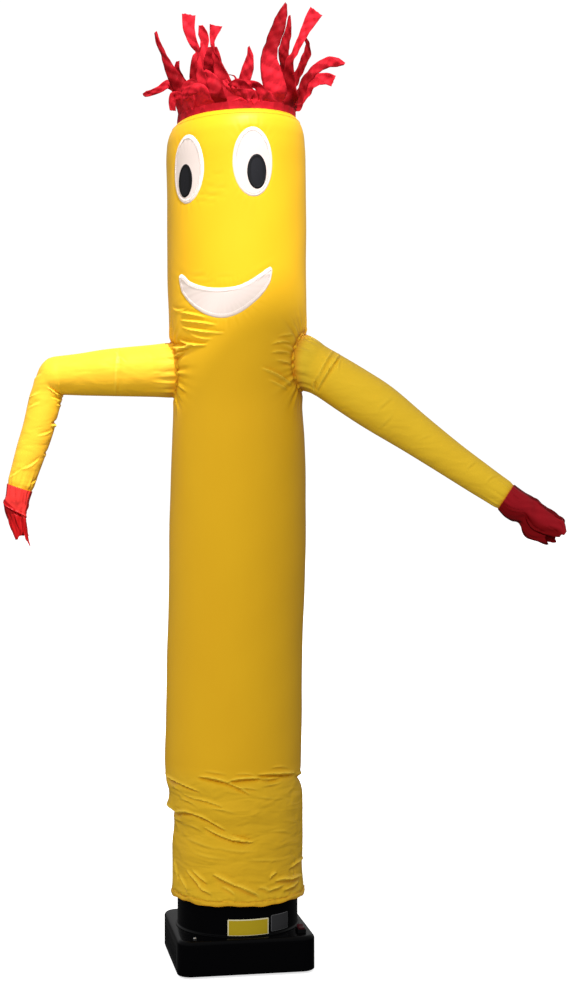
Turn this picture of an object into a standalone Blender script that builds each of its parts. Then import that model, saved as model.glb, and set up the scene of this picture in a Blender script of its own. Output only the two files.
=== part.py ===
"""Inflatable air dancer standing on its blower.

Metres, +Z up, origin on the floor under the blower's middle.
The face looks along -Y and the arms reach along -X and +X.
Run with: blender --background --python part.py
"""

import math

import bmesh
import bpy
import numpy as np
from mathutils import Matrix, Vector

# ---------------------------------------------------------------- driving dimensions

CLOTH = 0.0015              # thickness of the nylon as a solid
GAP = 0.0003                # clearance between neighbouring pieces
WALL_RADIUS = 0.130         # mean radius of the trunk's wall, on which its folds are laid out flat

# trunk and head
TUBE_COLUMNS = 40           # columns of the trunk's grid round its girth
RIM_Z = 1.604               # top edge of the head, where the hair band is sewn
RIM_RADIUS = 0.113
HEM_Z = 0.130               # lower edge of the hem

# arms: azimuth is measured from the face (-Y) towards +X
LEFT_ARM_AZIMUTH = -79.0
RIGHT_ARM_AZIMUTH = 93.0
ARM_COLUMNS = 16
ARM_ROWS = 22
BORE_ROWS = 6
BORE_END = 2.0              # row of the sleeve's table that the bore through the trunk's wall reaches

# face
EYE_LEFT = dict(angle=-31.1, height=1.4960, half_angle=16.9, half_height=0.0660)
EYE_RIGHT = dict(angle=25.8, height=1.5050, half_angle=17.3, half_height=0.0640)
PUPIL_LEFT = dict(angle=-33.1, height=1.4750, half_angle=8.0, half_height=0.0320)
PUPIL_RIGHT = dict(angle=28.2, height=1.4862, half_angle=8.2, half_height=0.0325)
PATCH = 0.0012              # thickness of a sewn-on shape
PATCH_MARGIN = 0.02         # how far its layer runs past its outline before it is cut
OVAL_POINTS = 28            # points round an eye; a pupil has fewer
PUPIL_POINTS = 20
PRISM_REACH = (0.103, 0.173)  # reaches of a cutter through the head's wall, inner and outer

# hair
STRIP_COUNT = 16
STRIP_COLUMNS = 2           # columns of faces across one streamer
STRIP_ROWS = 7              # rows of faces along one streamer
BAND_HEIGHT = 0.014         # red band under the streamers

# blower
BLOWER_TURN = 21.5          # azimuth of its front, from -Y towards +X
BLOWER_SIDE = 0.258
BLOWER_BOTTOM = 0.005
DECK_Z = 0.070
HOUSING_WALL = 0.003
CORNER_RADIUS = 0.026
DECK_EDGE = 0.008
COLLAR_RADIUS = 0.115
COLLAR_WALL = 0.0035
COLLAR_TOP = 0.152
COLLAR_LIP = 0.002          # how far the collar's top flares past its wall
BEAD_Z = 0.146              # middle of the collar's bead, where the hem grips it
BEAD_HALF = 0.003           # half the height of the bead's flat
BEAD_FOOT = 0.010           # how far below its middle the bead starts to rise from the wall
PANEL_RADIUS = 0.085        # round stiffening panel under the housing
PANEL_DROP = 0.0012         # how far it stands below the rest of the underside
FOOT_RADIUS = 0.011
FOOT_INSET = 0.030
OUTLET_RADIUS = 0.100       # hole in the deck, inside the collar
SLOT_COUNT = 12             # upright air slots in the housing's left wall
SLOT_WIDTH = 0.0055
SLOT_PITCH = 0.0150
SLOT_LOW = 0.016
SLOT_HIGH = 0.052

# rocker switch on the deck: to the right, towards the front
SWITCH_PLACE = (0.106, -0.090)
SWITCH_WIDTH = 0.0160       # outer width of the bezel
SWITCH_LENGTH = 0.0260
SWITCH_HEIGHT = 0.0065
SWITCH_RIM = 0.0018         # wall of the bezel
SWITCH_CORNER = 0.0015
WINDOW_CORNER = 0.0008
WINDOW_DEPTH = 0.0020       # how far the window's cutter starts below the deck
ROCKER_END_ROOM = 0.0008    # clearance past each end of the rocker
ROCKER_FLOOR = 0.0022       # clearance under the rocker when it is level
ROCKER_HEIGHT = 0.0088      # from its flat underside to its ends' tops
ROCKER_DIP = 0.0024         # how far the middle of its top lies below its ends
ROCKER_REST = 6.0           # degrees that the rocker leans to the front at rest
ROCKER_AXIS = 0.0050        # height of its axis above the deck

# ---------------------------------------------------------------- tables

# Trunk, bottom to top: z, radius, lean (the ring's middle along X), tilt (rise per metre along X).
TRUNK = (
    #  z      radius  lean    tilt
    (0.1300, 0.1268, 0.0010, 0.000),
    (0.1450, 0.1256, 0.0008, 0.000),
    (0.1750, 0.1244, -0.0006, 0.000),
    (0.2250, 0.1250, -0.0004, 0.000),
    (0.2720, 0.1240, 0.0008, 0.000),
    (0.3000, 0.1290, -0.0040, 0.000),
    (0.3250, 0.1280, -0.0040, 0.000),
    (0.3420, 0.1288, -0.0080, 0.000),
    (0.3700, 0.1306, -0.0088, 0.000),
    (0.4600, 0.1306, -0.0074, 0.000),
    (0.5800, 0.1298, -0.0052, 0.000),
    (0.7000, 0.1300, -0.0016, 0.000),
    (0.8000, 0.1308, 0.0004, 0.000),
    (0.9000, 0.1296, 0.0008, 0.000),
    (1.0000, 0.1276, 0.0000, 0.000),
    (1.0700, 0.1262, -0.0006, 0.000),
    (1.1400, 0.1290, -0.0004, 0.000),
    (1.2100, 0.1320, -0.0008, 0.005),
    (1.3000, 0.1330, -0.0010, 0.015),
    (1.4000, 0.1334, -0.0014, 0.030),
    (1.5000, 0.1330, -0.0022, 0.048),
    (1.5500, 0.1326, -0.0028, 0.056),
    (1.5740, 0.1300, -0.0028, 0.060),
    (1.5890, 0.1248, -0.0026, 0.063),
    (1.5980, 0.1188, -0.0022, 0.065),
    (1.6040, 0.1130, -0.0020, 0.066),
)

# Heights of the rows of the trunk's grid: close together where there are folds.
ROW_RUNS = (
    #  from    to     rows
    (0.130, 0.400, 20),
    (0.400, 1.050, 6),
    (1.050, 1.250, 7),
    (1.250, 1.560, 7),
    (1.560, 1.604, 4),
)

# Folds of the trunk: a soft trough (depth < 0) or ridge from one place on the wall to another.
TRUNK_FOLDS = (
    #  angle1  z1     angle2  z2     width   depth
    (-64.0, 0.352, -18.0, 0.343, 0.011, -0.0070),
    (-17.0, 0.364, 27.0, 0.345, 0.011, -0.0060),
    (24.0, 0.360, 74.0, 0.357, 0.011, -0.0070),
    (74.0, 0.356, 150.0, 0.348, 0.012, -0.0060),
    (165.0, 0.346, 290.0, 0.352, 0.012, -0.0055),
    (-80.0, 0.262, -20.0, 0.290, 0.012, -0.0075),
    (-20.0, 0.290, 4.0, 0.274, 0.010, -0.0050),
    (-17.0, 0.266, 28.0, 0.247, 0.011, -0.0055),
    (-46.0, 0.170, -24.0, 0.149, 0.010, 0.0030),
    (-9.0, 0.186, 16.0, 0.150, 0.010, 0.0030),
    (40.0, 0.190, 60.0, 0.160, 0.011, 0.0028),
    (70.0, 0.178, 96.0, 0.188, 0.010, -0.0050),
    (110.0, 0.300, 170.0, 0.262, 0.013, -0.0055),
    (180.0, 0.290, 250.0, 0.310, 0.013, -0.0050),
    (120.0, 0.165, 150.0, 0.190, 0.011, 0.0030),
    (190.0, 0.185, 220.0, 0.155, 0.011, 0.0030),
    (-60.0, 1.205, -32.0, 1.195, 0.013, -0.0040),
    (56.0, 1.120, 30.0, 1.142, 0.013, -0.0035),
    (66.0, 1.170, 44.0, 1.176, 0.013, -0.0030),
)

# Sleeves, from inside the trunk to the wrist, in the arm's own upright plane: reach from the
# trunk's middle, z, radius, and slope, the direction of the sleeve in degrees above level.
LEFT_ARM = (
    #  reach   z       radius  slope
    (0.0850, 1.1300, 0.0525, -2.0),
    (0.1300, 1.1285, 0.0515, -2.0),
    (0.1900, 1.1265, 0.0490, -2.0),
    (0.2500, 1.1245, 0.0455, -3.0),
    (0.3020, 1.1225, 0.0415, -4.0),
    (0.3340, 1.1180, 0.0380, -8.0),
    (0.3540, 1.1110, 0.0350, -30.0),
    (0.3640, 1.0960, 0.0330, -50.0),
    (0.3695, 1.0780, 0.0315, -68.0),
    (0.3735, 1.0582, 0.0325, -78.0),
    (0.3830, 1.0180, 0.0312, -77.0),
    (0.3958, 0.9756, 0.0295, -76.0),
    (0.4070, 0.9390, 0.0270, -74.0),
    (0.4179, 0.9036, 0.0246, -71.5),
)
RIGHT_ARM = (
    #  reach   z       radius  slope
    (0.0800, 1.1560, 0.0555, -20.0),
    (0.1270, 1.1385, 0.0535, -22.0),
    (0.1500, 1.1300, 0.0470, -28.0),
    (0.1738, 1.1180, 0.0455, -34.0),
    (0.2200, 1.0885, 0.0468, -33.0),
    (0.2721, 1.0543, 0.0466, -34.5),
    (0.3400, 1.0055, 0.0392, -35.5),
    (0.4072, 0.9572, 0.0335, -35.0),
    (0.4600, 0.9205, 0.0305, -34.5),
    (0.5109, 0.8856, 0.0272, -33.0),
)

# Folds of a sleeve.  Along is the row of the table above, counted from 0; angle is measured round
# the sleeve from its front towards its upper (or outer) side.
LEFT_ARM_FOLDS = (
    # along1 angle1 along2 angle2 width  depth
    (2.0, -60.0, 1.8, 70.0, 0.012, -0.0020),
    (5.8, -95.0, 7.0, 5.0, 0.010, -0.0045),
    (8.4, -110.0, 9.4, -40.0, 0.010, -0.0040),
    (9.6, -120.0, 9.2, -60.0, 0.010, -0.0035),
)
RIGHT_ARM_FOLDS = (
    # along1 angle1 along2 angle2 width  depth
    (3.6, 84.0, 2.9, -50.0, 0.010, -0.0050),
    (5.4, 40.0, 5.1, -40.0, 0.012, -0.0022),
)

# Hands, from the wrist seam to the finger tips: reach, z, half width in the arm's plane,
# half depth across it, and slope.
LEFT_HAND = (
    #  reach   z       width   depth   slope
    (0.4179, 0.9036, 0.0246, 0.0246, -71.5),
    (0.4238, 0.8780, 0.0225, 0.0215, -74.0),
    (0.4284, 0.8590, 0.0240, 0.0170, -70.0),
    (0.4250, 0.8390, 0.0185, 0.0125, -98.0),
    (0.4180, 0.8180, 0.0130, 0.0095, -108.0),
    (0.4060, 0.7970, 0.0105, 0.0080, -118.0),
)
RIGHT_HAND = (
    #  reach   z       width   depth   slope
    (0.5109, 0.8856, 0.0272, 0.0272, -33.0),
    (0.5328, 0.8690, 0.0290, 0.0255, -36.0),
    (0.5568, 0.8530, 0.0290, 0.0220, -36.0),
    (0.5757, 0.8340, 0.0340, 0.0170, -40.0),
    (0.5930, 0.8230, 0.0310, 0.0130, -40.0),
    (0.6080, 0.8120, 0.0260, 0.0100, -40.0),
)

# Fingers: first and last column of faces, and the rows that each is shorter than the longest.
LEFT_FINGERS = (
    # first last short
    (0, 2, 2),
    (4, 6, 1),
    (8, 10, 2),
    (12, 14, 0),
)
RIGHT_FINGERS = (
    # first last short
    (0, 2, 1),
    (4, 6, 0),
    (8, 10, 1),
    (12, 14, 0),
)
HAND_COLUMNS = 16
HAND_ROWS = 9
PALM_ROWS = 5               # rows of a hand before it is cut into fingers

# Mouth: a crescent, one row for each station from its left corner to its right one.
MOUTH = (
    # angle  lower   upper
    (-42.6, 1.2960, 1.3005),
    (-40.0, 1.2740, 1.3035),
    (-36.0, 1.2610, 1.3000),
    (-30.0, 1.2470, 1.2890),
    (-19.0, 1.2290, 1.2780),
    (-8.0, 1.2185, 1.2725),
    (3.0, 1.2163, 1.2715),
    (14.6, 1.2250, 1.2760),
    (24.0, 1.2400, 1.2860),
    (32.6, 1.2580, 1.2990),
    (37.9, 1.2740, 1.3075),
    (41.2, 1.2900, 1.3095),
    (42.2, 1.3010, 1.3065),
)

# Streamers, counted from the front (-Y) round towards +X.  Lean is outwards from upright, swing is
# sideways towards the next one and turn is the twist about its own length, each in degrees at the
# root (0), halfway (1) and at the tip (2).  Wide is the width as a share of the root's.
STREAMERS = (
    # length lean0 lean1 lean2  swing0 swing1 swing2 turn1 turn2  wide0 wide1 wide2
    (0.160, -5.0, -3.0, 2.0, 0.0, -26.0, 12.0, 20.0, 35.0, 0.86, 0.60, 0.62),
    (0.100, 20.0, 30.0, 44.0, -34.0, -66.0, -84.0, 10.0, 20.0, 0.84, 0.66, 0.50),
    (0.192, 1.0, 0.0, 4.0, -10.0, 5.0, 30.0, 6.0, 20.0, 0.88, 0.96, 0.34),
    (0.196, 4.0, 12.0, 42.0, 0.0, 0.0, 2.0, 55.0, 80.0, 0.80, 0.50, 0.60),
    (0.165, 4.0, 36.0, 124.0, 0.0, 0.0, 0.0, 16.0, 30.0, 0.82, 0.62, 0.34),
    (0.126, 12.0, 52.0, 112.0, 0.0, 2.0, 6.0, 14.0, 30.0, 0.82, 0.64, 0.40),
    (0.166, 10.0, 14.0, 18.0, -5.0, -10.0, -10.0, 35.0, 60.0, 0.80, 0.60, 0.45),
    (0.150, 3.0, 5.0, 8.0, -8.0, -14.0, -6.0, 30.0, 60.0, 0.82, 0.66, 0.45),
    (0.168, 0.0, -2.0, 0.0, -3.0, -7.0, -4.0, 10.0, 20.0, 0.66, 0.72, 0.14),
    (0.130, 2.0, 8.0, 12.0, 2.0, 4.0, -8.0, 25.0, 50.0, 0.84, 0.70, 0.50),
    (0.185, -4.0, -16.0, -128.0, 0.0, 0.0, 0.0, 5.0, 10.0, 0.84, 0.72, 0.60),
    (0.105, 6.0, 20.0, 48.0, -2.0, -4.0, 6.0, 20.0, 40.0, 0.84, 0.74, 0.50),
    (0.108, 8.0, 66.0, 112.0, 0.0, 0.0, 0.0, 10.0, 25.0, 0.80, 0.56, 0.30),
    (0.162, 0.0, 29.0, 8.0, 2.0, 2.0, 0.0, 34.0, 60.0, 0.80, 0.46, 0.24),
    (0.182, 2.0, 1.0, 0.0, 4.0, -2.0, -8.0, 28.0, 50.0, 0.84, 0.62, 0.74),
    (0.072, 12.0, 30.0, 60.0, 4.0, 14.0, 24.0, 10.0, 20.0, 0.84, 0.76, 0.60),
)
FIRST_STREAMER = 7.0        # azimuth of the middle of the first one

# Blank labels on the collar: azimuths from -Y towards +X, lower and upper edge.
LABELS = (
    ("collar_label_yellow", 3.4, 42.8, 0.0720, 0.1035, "yellow_label"),
    ("collar_label_grey", 45.5, 67.5, 0.0760, 0.1065, "grey_label"),
)
LABEL = 0.0008              # thickness of a label
LABEL_STEPS = 6             # points along a label's edge
SCREW_RADIUS = 0.0035
SCREW_HEIGHT = 0.0030
SCREW_PLACE = (-0.096, -0.108)

# Colours (linear red, green, blue), roughness, metallic.
FINISHES = {
    "yellow_nylon": ((0.86, 0.56, 0.03), 0.45, 0.0),
    "red_nylon": ((0.62, 0.01, 0.02), 0.45, 0.0),
    "white_cloth": ((0.86, 0.84, 0.82), 0.60, 0.0),
    "black_cloth": ((0.015, 0.015, 0.016), 0.60, 0.0),
    "black_plastic": ((0.006, 0.006, 0.007), 0.35, 0.0),
    "black_rubber": ((0.012, 0.012, 0.012), 0.80, 0.0),
    "yellow_label": ((0.72, 0.52, 0.04), 0.50, 0.0),
    "grey_label": ((0.08, 0.08, 0.08), 0.50, 0.0),
    "red_plastic": ((0.30, 0.01, 0.01), 0.30, 0.0),
    "steel": ((0.55, 0.55, 0.56), 0.35, 1.0),
}


# ---------------------------------------------------------------- scene helpers

def clear_scene():
    for item in list(bpy.data.objects):
        bpy.data.objects.remove(item, do_unlink=True)


def new_collection(name):
    group = bpy.data.collections.new(name)
    bpy.context.scene.collection.children.link(group)
    return group


def finish_material(name, finish):
    """A Principled material of the named finish, one for each object."""
    colour, roughness, metallic = FINISHES[finish]
    material = bpy.data.materials.new(name)
    material.use_nodes = True
    shader = material.node_tree.nodes["Principled BSDF"]
    shader.inputs["Base Color"].default_value = (*colour, 1.0)
    shader.inputs["Roughness"].default_value = roughness
    shader.inputs["Metallic"].default_value = metallic
    return material


def link_object(name, mesh, group, finish=None, smooth_angle=40.0):
    """Put a mesh in the scene as a named piece, or as a cutter where it has no finish."""
    item = bpy.data.objects.new(name, mesh)
    group.objects.link(item)
    if finish is None:
        item.hide_render = True
        item.display_type = 'WIRE'
        return item
    mesh.materials.append(finish_material(name, finish))
    mesh.shade_smooth()
    mesh.set_sharp_from_angle(angle=math.radians(smooth_angle))
    return item


def mesh_from_bmesh(name, shape):
    mesh = bpy.data.meshes.new(name)
    shape.to_mesh(mesh)
    shape.free()
    return mesh


def give_thickness(item, thickness):
    """Turn an open sheet into cloth, the thickness going inwards from its face."""
    wall = item.modifiers.new("cloth", 'SOLIDIFY')
    wall.thickness = thickness
    wall.offset = -1.0
    wall.use_even_offset = True


def cut(item, cutter, operation='DIFFERENCE'):
    step = item.modifiers.new("cut_" + cutter.name, 'BOOLEAN')
    step.operation = operation
    step.solver = 'EXACT'
    step.object = cutter


# ---------------------------------------------------------------- lofted cloth

def read_table(table, at):
    """Smooth curve through a table's rows, whose first column is the parameter."""
    rows = np.array(table)
    key, values = rows[:, 0], rows[:, 1:]
    slope = np.gradient(values, key, axis=0)
    before = np.clip(np.searchsorted(key, at, side="right") - 1, 0, len(key) - 2)
    span = (key[before + 1] - key[before])[:, None]
    t = (at - key[before])[:, None] / span
    return ((2 * t**3 - 3 * t**2 + 1) * values[before] + (t**3 - 2 * t**2 + t) * span * slope[before]
            + (3 * t**2 - 2 * t**3) * values[before + 1] + (t**3 - t**2) * span * slope[before + 1])


def count_rows(table):
    """The same table with its row number as the parameter."""
    return tuple((float(number), *row) for number, row in enumerate(table))


def loft_mesh(name, rings, closed_ends=False, inside_out=False, round_again=False, kept=None):
    """Skin between rings, an array of rows by columns by 3, each ring closing on itself.

    round_again joins the last ring to the first; kept says which faces stay, as an array of
    rows - 1 by columns.
    """
    rows, columns = rings.shape[:2]
    shape = bmesh.new()
    points = [shape.verts.new(point) for point in rings.reshape(-1, 3).tolist()]
    for row in range(rows if round_again else rows - 1):
        for column in range(columns):
            if kept is not None and not kept[row, column]:
                continue
            after = (column + 1) % columns
            above = (row + 1) % rows
            corners = [row * columns + column, row * columns + after,
                       above * columns + after, above * columns + column]
            if inside_out:
                corners.reverse()
            shape.faces.new([points[corner] for corner in corners])
    if closed_ends:
        bottom, top = points[:columns], points[-columns:]
        shape.faces.new(bottom if inside_out else bottom[::-1])
        shape.faces.new(top[::-1] if inside_out else top)
    bmesh.ops.delete(shape, geom=[point for point in points if not point.link_faces], context='VERTS')
    return mesh_from_bmesh(name, shape)


def fold_height(across, along, folds, turn):
    """Sum of the folds at places on an unrolled wall.

    Each fold is (x1, y1, x2, y2, width, depth): depth * exp(-(d / width)^2), d the distance to its
    line.  turn is the length of one turn round the wall.
    """
    total = np.zeros_like(across)
    for x1, y1, x2, y2, width, depth in folds:
        middle = (x1 + x2) / 2
        x = middle + (across - middle + turn / 2) % turn - turn / 2
        dx, dy = x2 - x1, y2 - y1
        share = np.clip(((x - x1) * dx + (along - y1) * dy) / (dx * dx + dy * dy), 0.0, 1.0)
        distance = np.hypot(x - x1 - share * dx, along - y1 - share * dy)
        total += depth * np.exp(-(distance / width) ** 2)
    return total


# ---------------------------------------------------------------- trunk

def trunk_heights():
    """Heights of the trunk's rows of points, from the runs of rows."""
    runs = [np.linspace(low, high, rows, endpoint=False) for low, high, rows in ROW_RUNS]
    return np.append(np.concatenate(runs), RIM_Z)


def trunk_folds():
    """The trunk's folds on its unrolled wall, in metres both ways."""
    return [(math.radians(a1) * WALL_RADIUS, z1, math.radians(a2) * WALL_RADIUS, z2, width, depth)
            for a1, z1, a2, z2, width, depth in TRUNK_FOLDS]


def trunk_rings(heights, angles, offset=0.0):
    """Points of the trunk's outer face, moved out by offset: rows by columns by 3."""
    radius, lean, tilt = read_table(TRUNK, heights).T
    turn, height = np.meshgrid(angles, heights)
    depth = fold_height(turn * WALL_RADIUS, height, trunk_folds(), 2 * math.pi * WALL_RADIUS)
    reach = radius[:, None] + depth + offset
    x = lean[:, None] + reach * np.sin(turn)
    y = -reach * np.cos(turn)
    z = height + tilt[:, None] * reach * np.sin(turn)
    return np.stack([x, y, z], axis=2)


def column_angles(columns=TUBE_COLUMNS):
    return np.arange(columns) * 2 * math.pi / columns


def make_trunk(parts, cutters):
    rings = trunk_rings(trunk_heights(), column_angles())
    trunk = link_object("tube", loft_mesh("tube", rings), parts, "yellow_nylon")
    give_thickness(trunk, CLOTH)
    outside = trunk_rings(trunk_heights(), column_angles(), GAP)
    whole = link_object("trunk_outside", loft_mesh("trunk_outside", outside, closed_ends=True), cutters)
    return trunk, whole


# ---------------------------------------------------------------- arms and hands

def arm_frame(azimuth):
    """Directions of an arm's plane: outwards, to the front, and up."""
    turn = math.radians(azimuth)
    outwards = np.array([math.sin(turn), -math.cos(turn), 0.0])
    front = np.array([math.cos(turn), math.sin(turn), 0.0])
    if front[1] > 0:
        front = -front
    return outwards, front, np.array([0.0, 0.0, 1.0])


def arm_rings(table, azimuth, rows, columns, folds=(), inset=0.0, end=None, start_gap=0.0):
    """Rings of a sleeve along its table: a ring is a circle or an ellipse square to the sleeve."""
    outwards, front, up = arm_frame(azimuth)
    last = len(table) - 1.0
    along = np.linspace(0.0, last if end is None else end, rows)
    values = read_table(count_rows(table), along)
    reach, z, width = values[:, 0], values[:, 1], values[:, 2]
    depth = values[:, -2] if values.shape[1] == 5 else width
    slope = np.radians(values[:, -1])
    middle = reach[:, None] * outwards + z[:, None] * up
    forwards = np.cos(slope)[:, None] * outwards + np.sin(slope)[:, None] * up
    above = -np.sin(slope)[:, None] * outwards + np.cos(slope)[:, None] * up
    middle[0] += forwards[0] * start_gap
    turn, place = np.meshgrid(column_angles(columns), along)
    step = np.linalg.norm(np.diff(middle, axis=0), axis=1).mean() / (along[1] - along[0])
    girth = float(width.mean())
    lines = [(math.radians(a1) * girth, s1 * step, math.radians(a2) * girth, s2 * step, wide, deep)
             for s1, a1, s2, a2, wide, deep in folds]
    crease = fold_height(turn * girth, place * step, lines, 2 * math.pi * girth)
    to_front = (depth[:, None] + crease - inset) * np.cos(turn)
    to_top = (width[:, None] + crease - inset) * np.sin(turn)
    return middle[:, None] + to_front[..., None] * front + to_top[..., None] * above[:, None]


def make_arm(name, table, azimuth, folds, parts, cutters, trunk, trunk_outside):
    """A sleeve cut to the trunk's wall, over a hole in the trunk of the sleeve's own bore."""
    turned = azimuth > 0
    rings = arm_rings(table, azimuth, ARM_ROWS, ARM_COLUMNS, folds)
    arm = link_object(name, loft_mesh(name, rings, inside_out=turned), parts, "yellow_nylon")
    give_thickness(arm, CLOTH)
    cut(arm, trunk_outside)
    bore = arm_rings(table, azimuth, BORE_ROWS, ARM_COLUMNS, inset=CLOTH + GAP, end=BORE_END)
    hole = loft_mesh(name + "_bore", bore, closed_ends=True, inside_out=turned)
    cut(trunk, link_object(name + "_bore", hole, cutters))


def finger_faces(fingers):
    """Faces of a hand that stay: the whole palm, then the fingers alone."""
    kept = np.ones((HAND_ROWS - 1, HAND_COLUMNS), dtype=bool)
    kept[PALM_ROWS:] = False
    for first, last, short in fingers:
        kept[PALM_ROWS:HAND_ROWS - 1 - short, first:last + 1] = True
    return kept


def make_hand(name, table, azimuth, fingers, parts):
    rings = arm_rings(table, azimuth, HAND_ROWS, HAND_COLUMNS, start_gap=GAP)
    mesh = loft_mesh(name, rings, inside_out=azimuth > 0, kept=finger_faces(fingers))
    hand = link_object(name, mesh, parts, "red_nylon")
    give_thickness(hand, CLOTH)


# ---------------------------------------------------------------- hair

def rim_ring(angles, rise):
    """Points of a ring over the rim of the head, lifted by rise."""
    radius, lean, tilt = read_table(TRUNK, np.array([RIM_Z]))[0]
    x = lean + radius * np.sin(angles)
    z = RIM_Z + rise + tilt * radius * np.sin(angles)
    return np.stack([x, -radius * np.cos(angles), z], axis=1)


def between(root, halfway, tip, share):
    """The curve through a value at the root, halfway and at the tip."""
    return (root * (1 - share) * (1 - 2 * share) + halfway * 4 * share * (1 - share)
            + tip * share * (2 * share - 1))


def streamer_points(number, row):
    """Points of one streamer, rows by columns, from the row above the band's edge to its tip."""
    length, lean0, lean1, lean2, swing0, swing1, swing2, turn1, turn2, wide0, wide1, wide2 = row
    middle = math.radians(FIRST_STREAMER) + number * 2 * math.pi / STRIP_COUNT
    outwards = Vector((math.sin(middle), -math.cos(middle), 0.0))
    sideways = Vector((math.cos(middle), math.sin(middle), 0.0))
    half = RIM_RADIUS * math.pi / STRIP_COUNT
    place = Vector(rim_ring(np.array([middle]), GAP + BAND_HEIGHT)[0])
    rows = []
    for step in range(STRIP_ROWS):
        share = (step + 0.5) / STRIP_ROWS
        lean = math.radians(between(lean0, lean1, lean2, share))
        swing = math.radians(between(swing0, swing1, swing2, share))
        along = (Vector((0, 0, 1)) * math.cos(lean) + outwards * math.sin(lean)) * math.cos(swing)
        along += sideways * math.sin(swing)
        place = place + along * length / STRIP_ROWS
        share = (step + 1) / STRIP_ROWS
        across = (sideways - along * sideways.dot(along)).normalized()
        turn = math.radians(between(0.0, turn1, turn2, share))
        across = Matrix.Rotation(turn, 3, along) @ across
        width = half * between(wide0, wide1, wide2, share)
        rows.append([place + across * width * side for side in np.linspace(-1, 1, STRIP_COLUMNS + 1)])
    return rows


def make_hair(parts):
    """A band on the head's rim, cut upwards into streamers: one sheet, then its thickness."""
    columns = STRIP_COUNT * STRIP_COLUMNS
    first = math.radians(FIRST_STREAMER) - math.pi / STRIP_COUNT
    angles = first + column_angles(columns)
    shape = bmesh.new()
    lower = [shape.verts.new(point) for point in rim_ring(angles, GAP).tolist()]
    upper = [shape.verts.new(point) for point in rim_ring(angles, GAP + BAND_HEIGHT).tolist()]
    for column in range(columns):
        after = (column + 1) % columns
        shape.faces.new((lower[column], lower[after], upper[after], upper[column]))
    for number, row in enumerate(STREAMERS):
        start = number * STRIP_COLUMNS
        below = [upper[(start + column) % columns] for column in range(STRIP_COLUMNS + 1)]
        for points in streamer_points(number, row):
            above = [shape.verts.new(point) for point in points]
            for column in range(STRIP_COLUMNS):
                shape.faces.new((below[column], below[column + 1], above[column + 1], above[column]))
            below = above
    hair = link_object("hair", mesh_from_bmesh("hair", shape), parts, "red_nylon")
    give_thickness(hair, CLOTH)


# ---------------------------------------------------------------- face

def wall_prism(name, outline, cutters):
    """A cutter through the head's wall: an outline of (angle, height) carried along the radius."""
    angles = np.radians([angle for angle, _ in outline])
    heights = np.array([height for _, height in outline])
    rings = []
    for reach in PRISM_REACH:
        rings.append(np.stack([reach * np.sin(angles), -reach * np.cos(angles), heights], axis=1))
    return link_object(name, loft_mesh(name, np.array(rings), closed_ends=True), cutters)


def oval_outline(shape, points=OVAL_POINTS):
    """(angle, height) round an oval, running so that a prism of it faces outwards."""
    turns = np.arange(points) * 2 * math.pi / points
    return [(shape["angle"] + shape["half_angle"] * math.cos(turn),
             shape["height"] + shape["half_height"] * math.sin(turn)) for turn in turns]


def mouth_outline():
    lower = [(angle, low) for angle, low, _ in MOUTH]
    upper = [(angle, high) for angle, _, high in MOUTH]
    return lower + upper[::-1]


def make_patch(name, outline, level, finish, parts, cutters):
    """A flat shape sewn on the head: a layer over the wall, kept only inside its outline.

    level counts the layers under it.
    """
    heights = trunk_heights()
    low = np.searchsorted(heights, min(height for _, height in outline) - PATCH_MARGIN) - 1
    high = np.searchsorted(heights, max(height for _, height in outline) + PATCH_MARGIN) + 1
    inner_offset = GAP + level * (PATCH + GAP)
    inner = trunk_rings(heights[low:high], column_angles(), inner_offset)
    outer = trunk_rings(heights[low:high], column_angles(), inner_offset + PATCH)
    skin = np.concatenate([outer, inner[::-1]])
    patch = link_object(name, loft_mesh(name, skin, round_again=True), parts, finish)
    cut(patch, wall_prism(name + "_outline", outline, cutters), 'INTERSECT')


def make_face(parts, cutters):
    make_patch("eye_white_left", oval_outline(EYE_LEFT), 0, "white_cloth", parts, cutters)
    make_patch("eye_white_right", oval_outline(EYE_RIGHT), 0, "white_cloth", parts, cutters)
    make_patch("pupil_left", oval_outline(PUPIL_LEFT, PUPIL_POINTS), 1, "black_cloth", parts, cutters)
    make_patch("pupil_right", oval_outline(PUPIL_RIGHT, PUPIL_POINTS), 1, "black_cloth", parts, cutters)
    make_patch("mouth", mouth_outline(), 0, "white_cloth", parts, cutters)


# ---------------------------------------------------------------- blower

def rounded_block(name, size_x, size_y, low, high, corner, top_edge=0.0, segments=5):
    """A block with round upright corners and a soft upper edge, centred on the upright axis."""
    near = 1e-6
    shape = bmesh.new()
    bmesh.ops.create_cube(shape, size=1.0)
    bmesh.ops.scale(shape, vec=(size_x, size_y, high - low), verts=shape.verts)
    bmesh.ops.translate(shape, vec=(0.0, 0.0, (low + high) / 2), verts=shape.verts)
    upright = [edge for edge in shape.edges if abs(edge.verts[0].co.z - edge.verts[1].co.z) > near]
    bmesh.ops.bevel(shape, geom=upright, offset=corner, segments=segments, profile=0.5, affect='EDGES')
    if top_edge:
        rim = [edge for edge in shape.edges if all(abs(end.co.z - high) < near for end in edge.verts)]
        bmesh.ops.bevel(shape, geom=rim, offset=top_edge, segments=2, profile=0.5, affect='EDGES')
    return mesh_from_bmesh(name, shape)


def cylinder(name, radius, low, high, sides):
    shape = bmesh.new()
    bmesh.ops.create_cone(shape, cap_ends=True, segments=sides, radius1=radius, radius2=radius,
                          depth=high - low)
    bmesh.ops.translate(shape, vec=(0.0, 0.0, (low + high) / 2), verts=shape.verts)
    return mesh_from_bmesh(name, shape)


def seat(item, parent, x=0.0, y=0.0, z=0.0):
    item.parent = parent
    item.location = (x, y, z)
    return item


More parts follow.
